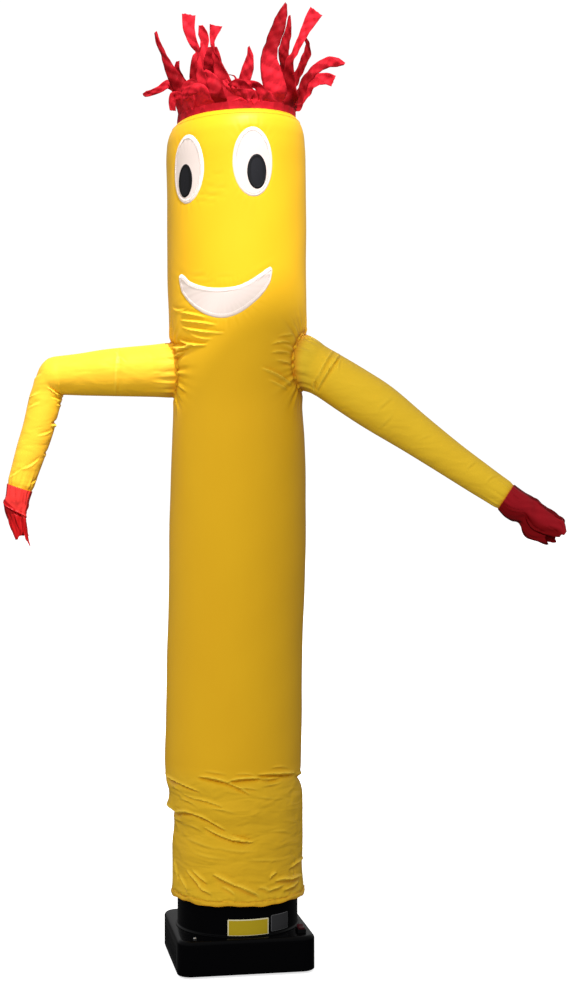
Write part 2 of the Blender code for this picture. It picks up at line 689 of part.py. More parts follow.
def make_slots(parent, cutters):
    """One cutter of separate upright bars, for the air slots in the left wall."""
    shape = bmesh.new()
    for number in range(SLOT_COUNT):
        bar = bmesh.ops.create_cube(shape, size=1.0)["verts"]
        bmesh.ops.scale(shape, vec=(4 * HOUSING_WALL, SLOT_WIDTH, SLOT_HIGH - SLOT_LOW), verts=bar)
        place = (number - (SLOT_COUNT - 1) / 2) * SLOT_PITCH
        bmesh.ops.translate(shape, vec=(-BLOWER_SIDE / 2, place, (SLOT_LOW + SLOT_HIGH) / 2), verts=bar)
    return seat(link_object("slots", mesh_from_bmesh("slots", shape), cutters), parent)


def make_housing(parent, parts, cutters):
    block = rounded_block("blower_housing", BLOWER_SIDE, BLOWER_SIDE, BLOWER_BOTTOM, DECK_Z,
                          CORNER_RADIUS, DECK_EDGE)
    housing = seat(link_object("blower_housing", block, parts, "black_plastic"), parent)
    inside = BLOWER_SIDE - 2 * HOUSING_WALL
    cavity = rounded_block("cavity", inside, inside, BLOWER_BOTTOM + HOUSING_WALL,
                           DECK_Z - HOUSING_WALL, CORNER_RADIUS - HOUSING_WALL)
    cut(housing, seat(link_object("cavity", cavity, cutters), parent))
    outlet = cylinder("outlet", OUTLET_RADIUS, DECK_Z - 4 * HOUSING_WALL, DECK_Z + HOUSING_WALL, 40)
    cut(housing, seat(link_object("outlet", outlet, cutters), parent))
    cut(housing, make_slots(parent, cutters))
    panel = cylinder("base_panel", PANEL_RADIUS, BLOWER_BOTTOM - PANEL_DROP,
                     BLOWER_BOTTOM + HOUSING_WALL / 2, 40)
    cut(housing, seat(link_object("base_panel", panel, cutters), parent), 'UNION')


def bead_radius():
    """Outer radius of the collar's bead: just inside the narrowest place of the hem round it."""
    rings = trunk_rings(np.array([BEAD_Z]), column_angles())
    return float(np.hypot(rings[0, :, 0], rings[0, :, 1]).min()) - CLOTH - 2 * GAP


def make_collar(parts):
    """The outlet: an upright wall with a foot flange and a bead, turned about the upright axis."""
    bead = bead_radius()
    low = DECK_Z + GAP
    profile = (
        (COLLAR_RADIUS, low),
        (COLLAR_RADIUS, BEAD_Z - BEAD_FOOT),
        (bead, BEAD_Z - BEAD_HALF),
        (bead, BEAD_Z + BEAD_HALF),
        (COLLAR_RADIUS + COLLAR_LIP, COLLAR_TOP),
        (COLLAR_RADIUS - COLLAR_WALL, COLLAR_TOP),
        (COLLAR_RADIUS - COLLAR_WALL, low),
    )
    shape = bmesh.new()
    points = [shape.verts.new((radius, 0.0, z)) for radius, z in profile[::-1]]
    for first, second in zip(points, points[1:] + points[:1]):
        shape.edges.new((first, second))
    collar = link_object("outlet_collar", mesh_from_bmesh("outlet_collar", shape), parts, "black_plastic")
    turn = collar.modifiers.new("turned", 'SCREW')
    turn.steps = 48
    turn.render_steps = 48
    turn.use_merge_vertices = True
    turn.merge_threshold = 0.00001


def make_feet(parent, parts):
    corner = BLOWER_SIDE / 2 - FOOT_INSET
    for number, (side_x, side_y) in enumerate(((-1, -1), (1, -1), (1, 1), (-1, 1)), start=1):
        foot = cylinder(f"foot_{number}", FOOT_RADIUS, 0.0, BLOWER_BOTTOM - GAP, 20)
        seat(link_object(f"foot_{number}", foot, parts, "black_rubber"), parent,
             side_x * corner, side_y * corner)


def make_label(name, angle1, angle2, low, high, finish, parts):
    """A blank patch bent round the collar, between two azimuths and two heights."""
    angles = np.radians(np.linspace(angle1, angle2, LABEL_STEPS))
    shape = bmesh.new()
    inner = COLLAR_RADIUS + GAP
    lower, upper = [
        [shape.verts.new((inner * math.sin(turn), -inner * math.cos(turn), z)) for turn in angles]
        for z in (low, high)]
    for step in range(LABEL_STEPS - 1):
        shape.faces.new((lower[step], lower[step + 1], upper[step + 1], upper[step]))
    label = link_object(name, mesh_from_bmesh(name, shape), parts, finish)
    wall = label.modifiers.new("label", 'SOLIDIFY')
    wall.thickness = LABEL
    wall.offset = 1.0


def make_switch(parent, parts, cutters):
    """A bezel on the deck and a rocker that tips about a level axis inside it."""
    x, y = SWITCH_PLACE
    low = DECK_Z + GAP
    frame = rounded_block("switch_bezel", SWITCH_WIDTH, SWITCH_LENGTH, low, DECK_Z + SWITCH_HEIGHT,
                          SWITCH_CORNER, segments=2)
    bezel = seat(link_object("switch_bezel", frame, parts, "black_plastic"), parent, x, y)
    window_width = SWITCH_WIDTH - 2 * SWITCH_RIM
    window_length = SWITCH_LENGTH - 2 * SWITCH_RIM
    window = rounded_block("switch_window", window_width, window_length, DECK_Z - WINDOW_DEPTH,
                           DECK_Z + 2 * SWITCH_HEIGHT, WINDOW_CORNER, segments=1)
    cut(bezel, seat(link_object("switch_window", window, cutters), parent, x, y))

    width = window_width - 2 * GAP
    end = window_length / 2 - ROCKER_END_ROOM
    floor = ROCKER_FLOOR - ROCKER_AXIS
    side = ((-end, floor), (end, floor), (end, floor + ROCKER_HEIGHT),
            (0.0, floor + ROCKER_HEIGHT - ROCKER_DIP), (-end, floor + ROCKER_HEIGHT))
    shape = bmesh.new()
    face = shape.faces.new([shape.verts.new((-width / 2, along, up)) for along, up in side])
    extruded = bmesh.ops.extrude_face_region(shape, geom=[face])["geom"]
    moved = [item for item in extruded if isinstance(item, bmesh.types.BMVert)]
    bmesh.ops.translate(shape, vec=(width, 0.0, 0.0), verts=moved)
    bmesh.ops.recalc_face_normals(shape, faces=shape.faces)
    rocker = link_object("switch_rocker", mesh_from_bmesh("switch_rocker", shape), parts, "red_plastic")
    seat(rocker, parent, x, y, DECK_Z + ROCKER_AXIS)
    rocker.rotation_euler = (math.radians(ROCKER_REST), 0.0, 0.0)


def make_blower(parts, cutters):
    turned = bpy.data.objects.new("blower_turn", None)
    turned.rotation_euler = (0.0, 0.0, math.radians(BLOWER_TURN))
    parts.objects.link(turned)
    make_housing(turned, parts, cutters)
    make_collar(parts)
    make_feet(turned, parts)
    make_switch(turned, parts, cutters)
    for name, angle1, angle2, low, high, finish in LABELS:
        make_label(name, angle1, angle2, low, high, finish, parts)
    screw = cylinder("deck_screw", SCREW_RADIUS, DECK_Z + GAP, DECK_Z + SCREW_HEIGHT, 12)
    seat(link_object("deck_screw", screw, parts, "steel"), turned, *SCREW_PLACE)


def main():
    clear_scene()
    parts = new_collection("air_dancer")
    cutters = new_collection("cutters")
    trunk, trunk_outside = make_trunk(parts, cutters)
    make_arm("arm_left", LEFT_ARM, LEFT_ARM_AZIMUTH, LEFT_ARM_FOLDS, parts, cutters, trunk, trunk_outside)
    make_arm("arm_right", RIGHT_ARM, RIGHT_ARM_AZIMUTH, RIGHT_ARM_FOLDS, parts, cutters, trunk,
             trunk_outside)
    make_hand("hand_left", LEFT_HAND, LEFT_ARM_AZIMUTH, LEFT_FINGERS, parts)
    make_hand("hand_right", RIGHT_HAND, RIGHT_ARM_AZIMUTH, RIGHT_FINGERS, parts)
    make_hair(parts)
    make_face(parts, cutters)
    make_blower(parts, cutters)


main()
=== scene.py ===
"""Inflatable air dancer over its blower: the visible cloth, stitching and mouldings.

Metres, +Z up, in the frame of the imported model.  The face looks along -Y.  Azimuths are degrees
from the face (-Y) towards +X.  Every surface here is a grid of points worked out as whole arrays.
"""

import math

import bmesh
import bpy
import numpy as np
from bpy.props import FloatProperty, FloatVectorProperty, PointerProperty
from bpy.types import Operator, Panel, PropertyGroup
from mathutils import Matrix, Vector


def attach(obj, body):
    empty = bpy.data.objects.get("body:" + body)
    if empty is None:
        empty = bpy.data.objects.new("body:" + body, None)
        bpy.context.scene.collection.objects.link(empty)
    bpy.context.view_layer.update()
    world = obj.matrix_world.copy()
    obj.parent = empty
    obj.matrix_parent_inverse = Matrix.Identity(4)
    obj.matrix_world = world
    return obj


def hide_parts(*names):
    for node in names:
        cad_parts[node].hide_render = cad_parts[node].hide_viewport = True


bl_info = {
    "name": "Air Dancer",
    "version": (1, 0, 0),
    "blender": (4, 5, 0),
    "location": "3D View > Sidebar > Air Dancer",
    "description": "Builds the cloth, face, streamers, blower and studio of an inflatable air dancer",
    "category": "Add Mesh",
}

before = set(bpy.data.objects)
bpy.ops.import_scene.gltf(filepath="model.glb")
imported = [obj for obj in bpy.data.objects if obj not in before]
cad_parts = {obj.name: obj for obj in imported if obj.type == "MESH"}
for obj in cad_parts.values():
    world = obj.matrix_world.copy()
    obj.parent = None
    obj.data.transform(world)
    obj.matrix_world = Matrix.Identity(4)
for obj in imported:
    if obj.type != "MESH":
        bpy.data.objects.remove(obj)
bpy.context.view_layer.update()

# ---------------------------------------------------------------- sizes, in metres

FIGURE = "dancer"           # the body that everything but the rocker rides on
ROCKER = "rocker"

WALL_RADIUS = 0.130         # mean radius of the trunk, on which its folds are laid out flat
RIM_Z = 1.604
HEM_Z = 0.130
RIM_RADIUS = 0.113
LEFT_AZIMUTH = -79.0
RIGHT_AZIMUTH = 93.0
SEAM_DIP = 0.0024           # how far the trunk is drawn in at an armhole's seam
SEAM_DIP_WIDTH = 0.008
HEM_TURN = 0.0085           # width of the hem that is turned in
HEM_WAVES = (0.0012, 0.0007)   # how far the hem's lower edge goes up and down
EDGE_WAVES = (0.0014, 0.0009)  # and the edge of the cloth turned in
HEM_GROOVE = 0.0020         # along the hem's stitches
HEM_BULGE = 0.0014          # of the double cloth below them
HEM_PUCKER = 0.0007
HEM_INSIDE = (
    # height above the hem's edge, and how far inside the outer cloth, of the cloth turned in
    (0.0110, 0.0022), (0.0080, 0.0024), (0.0045, 0.0022), (0.0015, 0.0016), (0.0004, 0.0006),
)
NEAR_SEAM = 0.012           # how far from an armhole the cloth takes the seam's darker colour
PUCKERS = 23                # round an armhole
PUCKER = 0.0021
PUCKER_REACH = 0.013
BILLOW = 0.0006
FACE_LOW = 1.15
FACE_PUCKERS = 31
FACE_PUCKER = 0.0002
FACE_PUCKER_REACH = 0.006
FACE_DIP = 0.0006
FACE_DIP_WIDTH = 0.003
PATCH_LIFT = 0.0009         # of the face's cloth patches over the trunk's
PATCH_BAND = (0.0070, 0.0078)  # where the lighter band inside a patch's edge ends
PATCH_ROWS = 26
OVAL_COLUMNS = 96
MOUTH_COLUMNS = 110
FOLD_WIDTH = 0.62           # both scale every fold of the tables
FOLD_DEPTH = 1.35
BOW = 0.05                  # how far a fold bows, as a share of its length
DEEP_FOLD = 0.007           # depth at which a fold's trough takes the full painted shade
# height at which a lip takes the full painted highlight
HIGH_LIP = 0.0027
COLLAR_REACH = 0.215        # up to this height the collar stands inside the trunk's cloth
DEEPEST_AT_COLLAR = 0.0026  # of a trough there, and above it
DEEPEST = 0.02
SLEEVE_SEAMS = (
    # dip    pucker  number of puckers, at the armhole and at the wrist
    (0.0022, 0.0011, 17),
    (0.0012, 0.0006, 13),
)
SLEEVE_COLUMNS = 128
SLEEVE_ROWS = {"left": 230, "right": 240}
ROOT_LIMIT = 2.4            # row of a sleeve's table that is surely outside the trunk
HAND_COLUMNS = 96
HAND_GATHER = 0.0009        # height of the gathers below the wrist
HAND_LIMP = 0.0009          # and of the two waves of the loose cloth
HAND_RIPPLE = 0.0006
PALM_ROWS = 46
FINGER_ROWS = 40
CUP = 0.30                  # how deep a streamer is cupped, as a share of its half width
CRUMPLE = 0.0022
BROAD_CRUMPLE = 0.031       # lengths of the crumples' two waves
FINE_CRUMPLE = 0.019
CLOTH = 0.0005              # thickness of the hands and streamers
MERGE = 0.00002             # points closer than this become one
THREAD = 0.00035            # radius of a stitch's thread
WEAVE = 0.06                # strength of the weave's bump
STITCH_PITCH = 0.0034
STITCH_LIFT = 0.0003
RIM_STITCHES = 0.0105       # how far below the rim of the head its stitches run
ZIGZAG_WIDTH = 0.0030
ZIGZAG_PITCH = 0.0042
ZIGZAG_INSET = 0.0046       # from a patch's edge to its zigzag stitches
SEAM_ROLL = 0.0030          # radius of the rolled seam at an armhole
CORD = 0.0011               # radius of a wrist's seam and of the piping round the rim
SKY = (0.46, 0.62, 0.90)    # light from below, level and above, as shares of the fill
# The key light's cone touches a line that rises to the right across the front of the trunk: what
# lies below the line is in shade.
KEY_EDGE = (0.012, -0.111, 1.184)
KEY_EDGE_WAY = (0.769, 0.628, 0.116)
KEY_WAY = (0.294, -0.509, 0.809)
KEY_DISTANCE = 12.0
KEY_CONE = 70.0             # half of the cone, in degrees
KEY_BLEND = 0.002
KEY_COLOUR = (1.0, 0.98, 1.12)
KEY_SIZE = 0.035
FRONT_PLACE = (-0.1, -3.4, 2.3)
FRONT_AIM = (0.05, 0.0, 1.0)
FRONT_SIZE = 1.4
SKY_TILT = -0.36            # how much lighter the sky is on the left
SKY_SEEN = 1.05             # the plain white that is seen behind the model
GLOSSY_LOW = 0.12           # the share of the sky's light that is mirrored from below
FLOOR_REACH = 40.0
FLOOR_GLOW = 0.72
CAMERA_PLACE = (0.6991, -3.1240, 0.8950)
VIEW_TURN = 11.0            # the camera's turn to the side, in degrees

BLOWER_TURN = 21.5
BLOWER_SIDE = 0.258
BLOWER_LOW = 0.005
DECK_Z = 0.070
HOUSING_WALL = 0.003
CORNER_RADIUS = 0.026
DECK_EDGE = 0.008           # radius of the deck's edge
FLOOR_EDGE = 0.002          # and of the edge under the walls
COLLAR_RADIUS = 0.115
COLLAR_WALL = 0.0035
COLLAR_TOP = 0.152
COLLAR_BEAD = 0.1225
COLLAR_FOOT = 0.0030        # radius of the fillet at the collar's foot
BEAD_Z = 0.146
OUTLET_RADIUS = 0.100
PANEL_RADIUS = 0.085
PANEL_LOW = 0.0038
SLOT_COUNT = 12
SLOT_WIDTH = 0.0055
SLOT_PITCH = 0.0150
SLOT_LOW = 0.016
SLOT_HIGH = 0.052
SWITCH_PLACE = (0.106, -0.090)
SWITCH_SIZE = (0.016, 0.026, 0.0065)
SWITCH_RIM = 0.0018
SWITCH_CORNER = 0.0016
ROCKER_AXIS = 0.0050        # height of the hinge over the deck
ROCKER_REST = 6.0           # its tip at rest, in degrees
ROCKER_FLOOR = 0.0022
ROCKER_HEIGHT = 0.0088
ROCKER_DIP = 0.0024
ROCKER_GAPS = (0.0003, 0.0008)  # between the cap and the bezel, at its sides and ends
SCREW_PLACE = (-0.096, -0.108)
SCREW_RADIUS = 0.0036
SCREW_HEIGHT = 0.0028
SCREW_DOME = 0.0042         # where the dome would meet the deck
FOOT_PLACE = 0.099
FOOT_RADIUS = 0.011
FOOT_HEIGHT = 0.0047

# Trunk: height, radius, lean (the ring's middle along X) and tilt (rise per metre along X).
TRUNK = (
    # z      radius  lean     tilt
    (0.1300, 0.1268, 0.0010, 0.000),
    (0.1450, 0.1256, 0.0008, 0.000),
    (0.1750, 0.1244, -0.0006, 0.000),
    (0.2250, 0.1250, -0.0004, 0.000),
    (0.2720, 0.1240, 0.0008, 0.000),
    (0.3000, 0.1290, -0.0040, 0.000),
    (0.3250, 0.1280, -0.0040, 0.000),
    (0.3420, 0.1288, -0.0080, 0.000),
    (0.3700, 0.1306, -0.0088, 0.000),
    (0.4600, 0.1306, -0.0074, 0.000),
    (0.5800, 0.1298, -0.0052, 0.000),
    (0.7000, 0.1300, -0.0016, 0.000),
    (0.8000, 0.1308, 0.0004, 0.000),
    (0.9000, 0.1296, 0.0012, 0.000),
    (1.0000, 0.1268, 0.0013, 0.000),
    (1.0700, 0.1228, 0.0006, 0.000),
    (1.1400, 0.1276, 0.0008, 0.000),
    (1.2100, 0.1312, 0.0004, 0.005),
    (1.3000, 0.1330, -0.0010, 0.015),
    (1.4000, 0.1334, -0.0014, 0.030),
    (1.5000, 0.1330, -0.0022, 0.048),
    (1.5500, 0.1326, -0.0028, 0.056),
    (1.5740, 0.1300, -0.0028, 0.060),
    (1.5890, 0.1248, -0.0026, 0.063),
    (1.5980, 0.1188, -0.0022, 0.065),
    (1.6040, 0.1130, -0.0020, 0.066),
)

# Rows of the trunk's grid: close together where the cloth is folded.
ROW_RUNS = (
    # from   to     rows
    (0.130, 0.142, 10),
    (0.142, 0.390, 116),
    (0.390, 1.050, 42),
    (1.050, 1.250, 96),
    (1.250, 1.560, 72),
    (1.560, 1.604, 20),
)
TRUNK_COLUMNS = 276
FRONT_SHARE = 0.42          # how much closer the columns are in front than on the average

# Folds of the trunk.  Each runs from one place on the wall to another and fades out at both ends.
# lip raises a ridge beside the trough, on the upper side when it is positive.
TRUNK_FOLDS = (
    # angle1 z1    angle2  z2     width   depth    lip
    # the overlapping creases across the lower trunk
    (-68.0, 0.354, -40.0, 0.349, 0.0060, -0.0070, 0.0036),
    (-46.0, 0.350, -16.0, 0.337, 0.0050, -0.0050, 0.0032),
    (-18.0, 0.365, 14.0, 0.351, 0.0060, -0.0068, 0.0038),
    (8.0, 0.354, 26.0, 0.332, 0.0050, -0.0042, 0.0030),
    (8.0, 0.358, 38.0, 0.361, 0.0060, -0.0068, 0.0038),
    (32.0, 0.370, 78.0, 0.361, 0.0060, -0.0070, 0.0038),
    (36.0, 0.361, 58.0, 0.360, 0.0050, -0.0040, 0.0028),
    (76.0, 0.359, 150.0, 0.348, 0.0080, -0.0065, 0.0030),
    (165.0, 0.346, 290.0, 0.352, 0.0080, -0.0060, 0.0030),
    # the point and the dent at the left, and the folds that start there
    (-112.0, 0.301, -60.0, 0.296, 0.0060, 0.0034, 0.0000),
    (-104.0, 0.276, -44.0, 0.286, 0.0090, -0.0080, 0.0030),
    (-52.0, 0.286, -22.0, 0.293, 0.0060, -0.0066, 0.0038),
    (-27.0, 0.294, -8.0, 0.280, 0.0060, -0.0062, 0.0038),
    (-12.0, 0.284, 2.0, 0.267, 0.0050, -0.0048, 0.0034),
    (-19.0, 0.272, 10.0, 0.249, 0.0055, -0.0050, 0.0040),
    (4.0, 0.252, 26.0, 0.246, 0.0050, -0.0050, 0.0040),
    (26.0, 0.250, 4.0, 0.264, 0.0045, -0.0026, 0.0024),
    # the notch at the right
    (64.0, 0.186, 102.0, 0.190, 0.0060, -0.0085, 0.0044),
    (72.0, 0.172, 74.0, 0.204, 0.0045, -0.0028, 0.0020),
    # round the back
    (110.0, 0.300, 170.0, 0.262, 0.0110, -0.0055, 0.0026),
    (180.0, 0.290, 250.0, 0.310, 0.0110, -0.0050, 0.0026),
    (120.0, 0.165, 150.0, 0.190, 0.0100, 0.0030, 0.0000),
    (190.0, 0.185, 220.0, 0.155, 0.0100, 0.0030, 0.0000),
)

# Finer wrinkles of the same kind.
TRUNK_WRINKLES = (
    # angle1 z1    angle2  z2     width   depth    lip
    # between and below the eyes
    (-22.0, 1.452, 6.0, 1.441, 0.0045, -0.0013, 0.0006),
    (-14.0, 1.462, 8.0, 1.455, 0.0040, -0.0008, 0.0004),
    (-24.0, 1.436, -2.0, 1.428, 0.0040, -0.0008, 0.0004),
    (-12.0, 1.478, 4.0, 1.482, 0.0040, -0.0006, 0.0003),
    # over the mouth
    (-34.0, 1.300, -8.0, 1.292, 0.0042, -0.0011, 0.0006),
    (-28.0, 1.288, -4.0, 1.284, 0.0038, -0.0009, 0.0005),
    (-10.0, 1.297, 12.0, 1.295, 0.0040, -0.0007, 0.0004),
    # below the mouth's left corner
    (-14.0, 1.220, -42.0, 1.234, 0.0048, -0.0018, 0.0024),
    (-4.0, 1.205, -42.0, 1.219, 0.0050, -0.0022, 0.0028),
    (2.0, 1.190, -40.0, 1.206, 0.0052, -0.0024, 0.0030),
    (-8.0, 1.180, -30.0, 1.192, 0.0045, -0.0014, 0.0018),
    (-34.0, 1.238, -56.0, 1.246, 0.0045, -0.0014, 0.0014),
    # at the left armhole
    (-13.0, 1.170, -48.0, 1.184, 0.0062, -0.0046, 0.0046),
    (-28.0, 1.168, -76.0, 1.177, 0.0080, -0.0074, 0.0030),
    (-54.0, 1.158, -26.0, 1.167, 0.0055, -0.0034, 0.0036),
    (-60.0, 1.146, -38.0, 1.156, 0.0048, -0.0020, 0.0020),
    (-58.0, 1.096, -40.0, 1.080, 0.0048, -0.0018, 0.0016),
    (-60.0, 1.084, -46.0, 1.062, 0.0045, -0.0014, 0.0012),
    (-62.0, 1.118, -44.0, 1.110, 0.0045, -0.0014, 0.0014),
    # at the right armhole
    (41.0, 1.166, 64.0, 1.170, 0.0048, -0.0011, 0.0028),
    (41.0, 1.151, 63.0, 1.151, 0.0048, -0.0012, 0.0030),
    (46.0, 1.138, 66.0, 1.131, 0.0046, -0.0010, 0.0025),
    (68.0, 1.096, 33.0, 1.127, 0.0055, -0.0022, 0.0051),
    (62.0, 1.088, 40.0, 1.106, 0.0046, -0.0011, 0.0028),
    (47.0, 1.181, 66.0, 1.187, 0.0045, -0.0007, 0.0016),
    # behind the armholes
    (-128.0, 1.150, -98.0, 1.160, 0.0060, -0.0030, 0.0018),
    (-132.0, 1.100, -100.0, 1.108, 0.0055, -0.0024, 0.0014),
    (-126.0, 1.190, -100.0, 1.182, 0.0050, -0.0018, 0.0010),
    (116.0, 1.160, 150.0, 1.150, 0.0060, -0.0030, 0.0018),
    (118.0, 1.106, 148.0, 1.090, 0.0055, -0.0026, 0.0014),
    (120.0, 1.186, 146.0, 1.196, 0.0050, -0.0016, 0.0010),
    # under the upper row of folds
    (-38.0, 0.329, -12.0, 0.320, 0.0045, -0.0018, 0.0018),
    (-23.0, 0.325, 3.0, 0.311, 0.0045, -0.0022, 0.0022),
    (-44.0, 0.318, -20.0, 0.308, 0.0045, -0.0016, 0.0014),
    (-56.0, 0.336, -38.0, 0.331, 0.0045, -0.0018, 0.0016),
    (-10.0, 0.307, 14.0, 0.299, 0.0045, -0.0012, 0.0012),
    (16.0, 0.348, 34.0, 0.342, 0.0045, -0.0018, 0.0016),
    (38.0, 0.348, 58.0, 0.351, 0.0045, -0.0016, 0.0014),
    (30.0, 0.330, 52.0, 0.322, 0.0045, -0.0010, 0.0010),
    (-12.0, 0.377, 8.0, 0.372, 0.0045, -0.0014, 0.0012),
    (14.0, 0.372, 32.0, 0.369, 0.0045, -0.0016, 0.0014),
    (44.0, 0.380, 66.0, 0.374, 0.0045, -0.0018, 0.0014),
    # between the folds of the lower trunk
    (-66.0, 0.268, -44.0, 0.272, 0.0050, -0.0014, 0.0012),
    (-36.0, 0.270, -20.0, 0.262, 0.0048, -0.0016, 0.0014),
    (-40.0, 0.246, -4.0, 0.232, 0.0055, -0.0012, 0.0012),
    (-8.0, 0.236, 30.0, 0.228, 0.0055, -0.0010, 0.0010),
    (-30.0, 0.222, 6.0, 0.214, 0.0055, -0.0009, 0.0009),
    (20.0, 0.212, 52.0, 0.206, 0.0055, -0.0009, 0.0009),
    (40.0, 0.262, 66.0, 0.252, 0.0050, -0.0010, 0.0010),
    # gathers above the hem
    (-64.0, 0.198, -52.0, 0.158, 0.0068, -0.0051, 0.0038),
    (-50.0, 0.173, -37.0, 0.146, 0.0061, -0.0057, 0.0043),
    (-38.0, 0.186, -17.0, 0.150, 0.0068, -0.0069, 0.0051),
    (-31.0, 0.189, -14.0, 0.167, 0.0061, -0.0051, 0.0041),
    (-26.0, 0.163, -10.0, 0.147, 0.0061, -0.0042, 0.0032),
    (-9.0, 0.185, 12.0, 0.164, 0.0070, -0.0075, 0.0059),
    (8.0, 0.168, 31.0, 0.143, 0.0070, -0.0075, 0.0059),
    (-2.0, 0.163, 10.0, 0.148, 0.0061, -0.0036, 0.0027),
    (30.0, 0.160, 42.0, 0.148, 0.0061, -0.0036, 0.0027),
    (42.0, 0.174, 50.0, 0.185, 0.0061, -0.0033, 0.0032),
    (47.0, 0.169, 68.0, 0.165, 0.0065, -0.0066, 0.0051),
    (60.0, 0.167, 90.0, 0.164, 0.0065, -0.0066, 0.0051),
    (56.0, 0.149, 84.0, 0.156, 0.0068, -0.0066, 0.0046),
    (38.0, 0.152, 58.0, 0.158, 0.0061, -0.0045, 0.0032),
    (100.0, 0.200, 122.0, 0.160, 0.0055, -0.0028, 0.0018),
    (134.0, 0.186, 150.0, 0.150, 0.0050, -0.0024, 0.0016),
    (160.0, 0.200, 176.0, 0.156, 0.0055, -0.0026, 0.0018),
    (184.0, 0.190, 206.0, 0.156, 0.0050, -0.0026, 0.0018),
    (214.0, 0.204, 230.0, 0.158, 0.0055, -0.0028, 0.0018),
    (238.0, 0.186, 256.0, 0.152, 0.0050, -0.0024, 0.0016),
    (262.0, 0.198, 280.0, 0.160, 0.0050, -0.0024, 0.0016),
    # over the back
    (130.0, 0.330, 168.0, 0.318, 0.0060, -0.0022, 0.0014),
    (176.0, 0.334, 220.0, 0.316, 0.0060, -0.0022, 0.0014),
    (226.0, 0.336, 262.0, 0.322, 0.0060, -0.0020, 0.0012),
    (150.0, 0.246, 196.0, 0.232, 0.0060, -0.0014, 0.0010),
    (204.0, 0.250, 246.0, 0.240, 0.0060, -0.0014, 0.0010),
)

# Sleeves, from inside the trunk to the wrist, in the arm's own upright plane: reach from the
# trunk's middle, z, radius, and slope, the direction of the sleeve in degrees above level.
LEFT_ARM = (
    # reach   z       radius  slope
    (0.0850, 1.1300, 0.0525, -2.0),
    (0.1300, 1.1285, 0.0515, -2.0),
    (0.1900, 1.1265, 0.0485, -2.5),
    (0.2500, 1.1240, 0.0450, -3.5),
    (0.3000, 1.1205, 0.0405, -5.0),
    (0.3355, 1.1188, 0.0378, -7.5),
    (0.3430, 1.1179, 0.0380, -15.2),
    (0.3498, 1.1152, 0.0379, -23.7),
    (0.3562, 1.1082, 0.0359, -35.4),
    (0.3611, 1.0978, 0.0327, -49.5),
    (0.3649, 1.0852, 0.0307, -66.4),
    (0.3685, 1.0728, 0.0312, -73.7),
    (0.3725, 1.0585, 0.0307, -74.5),
    (0.3822, 1.0180, 0.0300, -76.0),
    (0.3955, 0.9756, 0.0290, -76.0),
    (0.4070, 0.9390, 0.0268, -74.0),
    (0.4179, 0.9036, 0.0246, -71.5),
)
RIGHT_ARM = (
    # reach   z       radius  slope
    (0.0800, 1.1560, 0.0555, -20.0),
    (0.1270, 1.1385, 0.0535, -22.0),
    (0.1500, 1.1300, 0.0470, -28.0),
    (0.1738, 1.1180, 0.0455, -34.0),
    (0.2200, 1.0885, 0.0468, -33.0),
    (0.2721, 1.0543, 0.0466, -34.5),
    (0.3400, 1.0055, 0.0392, -35.5),
    (0.4072, 0.9572, 0.0335, -35.0),
    (0.4600, 0.9205, 0.0305, -34.5),
    (0.5109, 0.8856, 0.0272, -33.0),
)

# Folds of a sleeve: along is the row of its table counted from 0, angle is measured round the
# sleeve from its front towards its upper (or outer) side.
LEFT_ARM_FOLDS = (
    # along1 angle1 along2 angle2 width  depth    lip
    (2.70, -80.0, 2.50, 86.0, 0.006, -0.0018, 0.0010),
    (2.30, 20.0, 2.66, 60.0, 0.004, -0.0010, 0.0008),
    (7.50, -115.0, 9.00, 0.0, 0.005, -0.0042, 0.0024),
    (9.40, -118.0, 10.30, -20.0, 0.005, -0.0026, 0.0012),
    (10.80, -120.0, 11.20, -50.0, 0.005, -0.0020, 0.0010),
    (8.20, 34.0, 9.40, 94.0, 0.005, -0.0018, 0.0014),
    (10.20, 20.0, 11.40, 76.0, 0.005, -0.0020, 0.0014),
    (11.50, 6.0, 12.30, 62.0, 0.005, -0.0018, 0.0012),
    (12.58, -128.0, 12.70, -52.0, 0.005, -0.0056, 0.0034),
    (12.90, -70.0, 13.30, -10.0, 0.004, -0.0018, 0.0012),
    (13.88, -120.0, 14.00, -66.0, 0.005, -0.0026, 0.0012),
    (14.20, -50.0, 15.00, 10.0, 0.005, -0.0014, 0.0010),
    (15.00, 10.0, 15.60, 66.0, 0.005, -0.0014, 0.0010),
    (15.20, -104.0, 15.60, -50.0, 0.005, -0.0014, 0.0006),
    (7.60, 170.0, 9.40, 236.0, 0.006, -0.0036, 0.0020),
    (3.20, 150.0, 2.60, 236.0, 0.006, -0.0018, 0.0010),
    (12.80, 150.0, 13.60, 210.0, 0.005, -0.0020, 0.0012),
)
RIGHT_ARM_FOLDS = (
    # along1 angle1 along2 angle2 width  depth    lip
    (3.00, 92.0, 3.14, -60.0, 0.0055, -0.0030, 0.0026),
    (2.66, 84.0, 2.96, -30.0, 0.0050, -0.0024, 0.0022),
    (2.96, 44.0, 3.12, 8.0, 0.0030, -0.0018, 0.0016),
    (2.78, -10.0, 3.06, -64.0, 0.0035, -0.0026, 0.0020),
    (3.20, 60.0, 3.44, 20.0, 0.0035, -0.0012, 0.0010),
    (3.10, 180.0, 3.00, 262.0, 0.006, -0.0044, 0.0024),
    (5.20, 46.0, 5.08, -10.0, 0.005, -0.0012, 0.0008),
    (5.44, 10.0, 5.32, -54.0, 0.005, -0.0010, 0.0007),
    (6.40, 30.0, 6.20, -10.0, 0.005, -0.0008, 0.0006),
    (7.70, 46.0, 7.60, 0.0, 0.005, -0.0009, 0.0006),
    (8.50, 64.0, 8.30, 0.0, 0.005, -0.0010, 0.0006),
)

